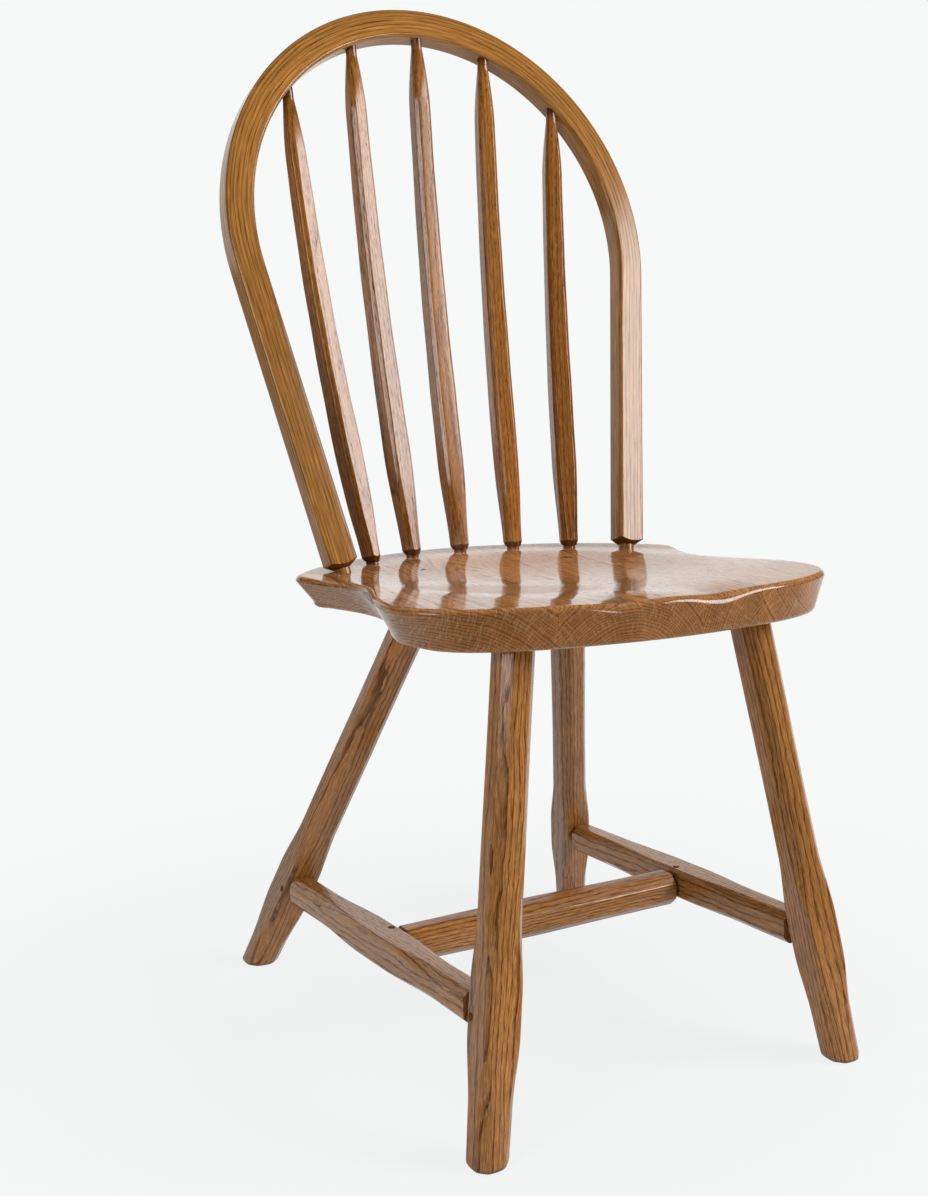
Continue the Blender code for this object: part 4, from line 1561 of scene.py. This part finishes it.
        tenon = rounded(stock(first), self.side_tenon_radius)
        shoulder_soak, tenon_soak = self.side_front_soak
        rows = [
            (-self.side_tenon_past, tenon, 1.0),
            (first, tenon, 1.0),
            (first, stock(first), self.shoulder_soak),
            *self.middle(first, last, stock),
            (last, stock(last), shoulder_soak),
            (last, tenon, tenon_soak),
            (length + self.side_tenon_past, tenon, tenon_soak),
        ]
        name = f"side_stretcher_{side.word}"
        rail = loft(name + "_oak", straight(rear.joint, run, rows), UP, self.side_billet.on_side(side))
        pieces = [dress(rail, name, Slot.STRETCHER, self.rail_oak)]
        for leg, toward in ((rear, -run), (front, run)):
            inset = (leg.width / 2 - self.pin_setback) / abs(toward.dot(leg.inward))
            centre = leg.joint - toward * inset - leg.axis * self.pin_drop
            out = leg.across * side.value
            face = leg.width / 2 - (centre - leg.joint).dot(out)
            pieces.append(self.pin(f"leg_pin_{leg.place}", centre, out, UP, face))
        return pieces, rear.joint + run * crossing

    def cross_stretcher(self, left: Vector, right: Vector) -> list[Piece]:
        """The rail between the two side rails.

        Args:
            left: where it crosses the left rail's line.
            right: where it crosses the right rail's line.

        Returns:
            The rail and its pins.
        """
        left, right = left - UP * self.cross_drop, right - UP * self.cross_drop
        run, length = (right - left).normalized(), (right - left).length
        stop = self.side_width / 2 + self.fit_gap
        first, last = stop + self.cross_shoulder, length - stop - self.cross_shoulder

        def stock(along: float) -> Section:
            """The rail's section.

            Args:
                along: distance from its left end.

            Returns:
                The section.
            """
            middle = 1 - abs(2 * along / length - 1)
            width = mix(self.cross_end_width, self.cross_middle_width, middle)
            hand = 1 + self.cross_wobble.at(along, self.cross_wobble_phase)
            return chamfered(width, width, self.cross_chamfer * hand, self.rail_ease)

        end = stock(first)
        tenon = rounded(end, self.cross_tenon_radius)
        tip = rounded(end, self.cross_end_width * self.shoulder_taper / 2)
        rows = [
            (-self.cross_tenon_past, tenon, 1.0),
            (stop, tenon, 1.0),
            (stop, tip, 1.0),
            (first, end, self.shoulder_soak),
            *self.middle(first, last, stock),
            (last, end, self.shoulder_soak),
            (length - stop, tip, 1.0),
            (length - stop, tenon, 1.0),
            (length + self.cross_tenon_past, tenon, 1.0),
        ]
        rail = loft("cross_stretcher_oak", straight(left, run, rows), UP, self.cross_billet)
        pieces = [dress(rail, "cross_stretcher", Slot.STRETCHER, self.rail_oak)]
        for side, point, toward in ((Side.LEFT, left, -run), (Side.RIGHT, right, run)):
            centre = point - toward * (self.side_width / 2 - self.pin_setback)
            face = self.side_width / 2 + self.cross_drop
            pieces.append(self.pin(f"stretcher_pin_{side.word}", centre, UP, BACKWARD, face))
        return pieces

    def build(self) -> list[Piece]:
        """Build all the pieces under the seat.

        Returns:
            The legs, then the stretchers with their pins.
        """
        oak = LEG_FINISH.material()
        pieces = [leg.build(oak) for leg in self.legs.values()]
        crossings = []
        for side in Side:
            made, crossing = self.side_stretcher(side)
            pieces += made
            crossings.append(crossing)
        return pieces + self.cross_stretcher(*crossings)


# Studio


@dataclass(frozen=True)
class Softbox:
    """A rectangular studio lamp that points at the chair."""

    name: str
    place: Triple
    width: float
    height: float
    watts: float
    mirrored: bool = True

    def build(self, target: Vector) -> None:
        """Hang the lamp.

        Args:
            target: the point that it faces.
        """
        data = bpy.data.lights.new(self.name, 'AREA')
        data.shape = 'RECTANGLE'
        data.size, data.size_y = self.width, self.height
        data.energy = self.watts
        lamp = bpy.data.objects.new(self.name, data)
        lamp.location = self.place
        lamp.visible_glossy = self.mirrored
        lamp.rotation_euler = (target - lamp.location).to_track_quat('-Z', 'Y').to_euler()
        bpy.context.scene.collection.objects.link(lamp)


@dataclass
class Studio:
    """A white sweep, soft lamps and the camera."""

    background: str = "#F6F9F8"
    paper: str = "#E9EDEE"
    fill: float = 0.22
    room: float = 0.04
    backdrop: float = 1.2
    backdrop_way: Triple = (0.087, 0.996, -0.45)
    backdrop_edge: Pair = (0.4, 0.8)
    floor_radius: float = 9.0
    floor_segments: int = 96
    floor_gloss: float = 0.9
    floor_dusk: float = 0.25
    dusk_x: Pair = (-1.8, -0.5)
    behind_run: Pair = (-1.0, 0.0)
    shadow_share: float = 0.13
    shadow_reach: Pair = (0.25, 0.8)
    lens: float = 45.385
    azimuth: float = -0.510271734
    elevation: float = 0.171347644
    roll: float = -0.002129264
    place: Triple = (-0.756153673, -1.21400666, 0.661747907)
    aim: Triple = (0, 0, 0.5)
    # The two fills light the wood but don't show in its lacquer.
    lamps: tuple[Softbox, ...] = (
        Softbox("key_softbox", (1.98, -1.67, 1.67), 1.55, 1.15, 58),
        Softbox("left_softbox", (-2.27, -1.12, 1.35), 1.00, 1.00, 20),
        Softbox("key_fill", (1.98, -1.67, 1.67), 1.55, 1.15, 14, mirrored=False),
        Softbox("top_fill", (0.0, 0.3, 2.6), 1.6, 1.6, 10, mirrored=False),
    )

    def camera(self) -> None:
        """Set the camera at the photograph's viewpoint."""
        ca, sa = math.cos(self.azimuth), math.sin(self.azimuth)
        ce, se = math.cos(self.elevation), math.sin(self.elevation)
        cr, sr = math.cos(self.roll), math.sin(self.roll)
        back, right = Vector((sa * ce, -ca * ce, se)), Vector((ca, sa, 0))
        up = back.cross(right)
        rows = Matrix((right * cr + up * sr, up * cr - right * sr, back))
        data = bpy.data.cameras.new("studio_camera")
        data.lens = self.lens
        camera = bpy.data.objects.new("studio_camera", data)
        camera.matrix_world = Matrix.Translation(self.place) @ rows.transposed().to_4x4()
        bpy.context.scene.collection.objects.link(camera)
        bpy.context.scene.camera = camera

    @staticmethod
    def seen(tree: Tree) -> Socket:
        """Tell the rays that show the background itself from those that light the chair.

        Args:
            tree: the nodes that ask.

        Returns:
            1 for rays from the camera, a mirror-like surface or glass.
        """
        path = add_node(tree, "LightPath").outputs
        direct = add_node(tree, "Math", {
            "Value": path["Is Camera Ray"], "Value_001": path["Is Glossy Ray"],
        }, operation='ADD')
        seen = add_node(tree, "Math", {
            "Value": direct.outputs[0], "Value_001": path["Is Transmission Ray"],
        }, operation='ADD', use_clamp=True)
        return seen.outputs[0]

    def world(self) -> None:
        """A white backdrop behind the chair, and for reflections a dim room in front of it."""
        world = bpy.data.worlds.new("white_surround")
        world.use_nodes = True
        tree = world.node_tree
        tree.nodes.clear()
        level = add_node(tree, "MapRange", {"Value": self.seen(tree), "To Min": self.fill, "To Max": 1.0})
        toward = add_node(tree, "VectorMath", {
            "Vector": add_node(tree, "TexCoord").outputs["Generated"], "Vector_001": self.backdrop_way,
        }, operation='DOT_PRODUCT')
        dimmer = add_node(tree, "MapRange", {
            "Value": toward.outputs["Value"], "From Min": self.backdrop_edge[0],
            "From Max": self.backdrop_edge[1], "To Min": self.room - 1, "To Max": self.backdrop - 1,
        }, interpolation_type='SMOOTHSTEP')
        share = add_node(tree, "Math", {
            "Value": add_node(tree, "LightPath").outputs["Is Glossy Ray"],
            "Value_001": dimmer.outputs["Result"], "Value_002": 1.0,
        }, operation='MULTIPLY_ADD')
        strength = add_node(tree, "Math", {
            "Value": level.outputs["Result"], "Value_001": share.outputs[0],
        }, operation='MULTIPLY')
        shader = add_node(tree, "Background", {
            "Color": linear(self.background), "Strength": strength.outputs[0],
        })
        add_node(tree, "OutputWorld", {"Surface": shader.outputs["Background"]})
        bpy.context.scene.world = world

    def floor(self) -> None:
        """A pale paper floor that keeps the chair's shadow and fades into the surround."""
        mesh = bpy.data.meshes.new("paper_floor")
        disc = bmesh.new()
        bmesh.ops.create_circle(disc, cap_ends=True, segments=self.floor_segments, radius=self.floor_radius)
        disc.to_mesh(mesh)
        disc.free()
        floor = bpy.data.objects.new("paper_floor", mesh)
        bpy.context.scene.collection.objects.link(floor)
        mesh.materials.append(self.studio_paper())

    def studio_paper(self) -> Material:
        """Matt white paper that shows as the background, with the shadow over it.

        Returns:
            The floor's material.
        """
        material = bpy.data.materials.new("white_studio_paper")
        material.use_nodes = True
        tree = material.node_tree
        tree.nodes.clear()
        spot = add_node(tree, "TexCoord").outputs["Object"]
        distance = add_node(tree, "VectorMath", {"Vector": spot}, operation='LENGTH')
        fade = add_node(tree, "MapRange", {
            "Value": distance.outputs["Value"], "From Min": self.shadow_reach[0],
            "From Max": self.shadow_reach[1], "To Min": 1 - self.shadow_share, "To Max": 1.0,
        })
        glow_share = add_node(tree, "Math", {
            "Value": self.seen(tree), "Value_001": fade.outputs["Result"],
        }, operation='MULTIPLY')
        # In reflections the floor is dim in front of the chair and far to its left.
        full = add_node(tree, "MapRange", {
            "Value": add_node(tree, "SeparateXYZ", {"Vector": spot}).outputs["X"],
            "From Min": self.dusk_x[0], "From Max": self.dusk_x[1],
            "To Min": self.floor_gloss * self.floor_dusk, "To Max": self.floor_gloss,
        })
        behind = add_node(tree, "VectorMath", {
            "Vector": spot, "Vector_001": self.backdrop_way,
        }, operation='DOT_PRODUCT')
        lit = add_node(tree, "MapRange", {
            "Value": behind.outputs["Value"], "From Min": self.behind_run[0],
            "From Max": self.behind_run[1], "To Min": self.room, "To Max": full.outputs["Result"],
        })
        glare = add_node(tree, "MapRange", {
            "Value": add_node(tree, "LightPath").outputs["Is Glossy Ray"],
            "To Min": 1.0, "To Max": lit.outputs["Result"],
        })
        paper = add_node(tree, "BsdfDiffuse", {"Color": linear(self.paper)})
        glow = add_node(tree, "Emission", {
            "Color": linear(self.background), "Strength": glare.outputs["Result"],
        })
        both = add_node(tree, "MixShader", {
            "Fac": glow_share.outputs[0], "Shader": paper.outputs["BSDF"],
            "Shader_001": glow.outputs["Emission"],
        })
        add_node(tree, "OutputMaterial", {"Surface": both.outputs["Shader"]})
        return material

    def build(self) -> None:
        """Set up the whole studio."""
        self.camera()
        self.world()
        self.floor()
        for lamp in self.lamps:
            lamp.build(Vector(self.aim))
        bpy.context.scene.view_settings.view_transform = 'Standard'


def main() -> None:
    """Build the chair piece by piece, then the studio around it."""
    logging.basicConfig(level=logging.INFO, format="%(name)s: %(message)s")
    seat = Seat()
    hoop = Hoop(seat)
    for assembly in (seat, hoop, Spindles(seat, hoop), Underframe(seat)):
        for piece in assembly.build():
            LOG.info("%s has %d faces", piece.name, len(piece.data.polygons))
    Studio().build()


if __name__ == "__main__":
    main()
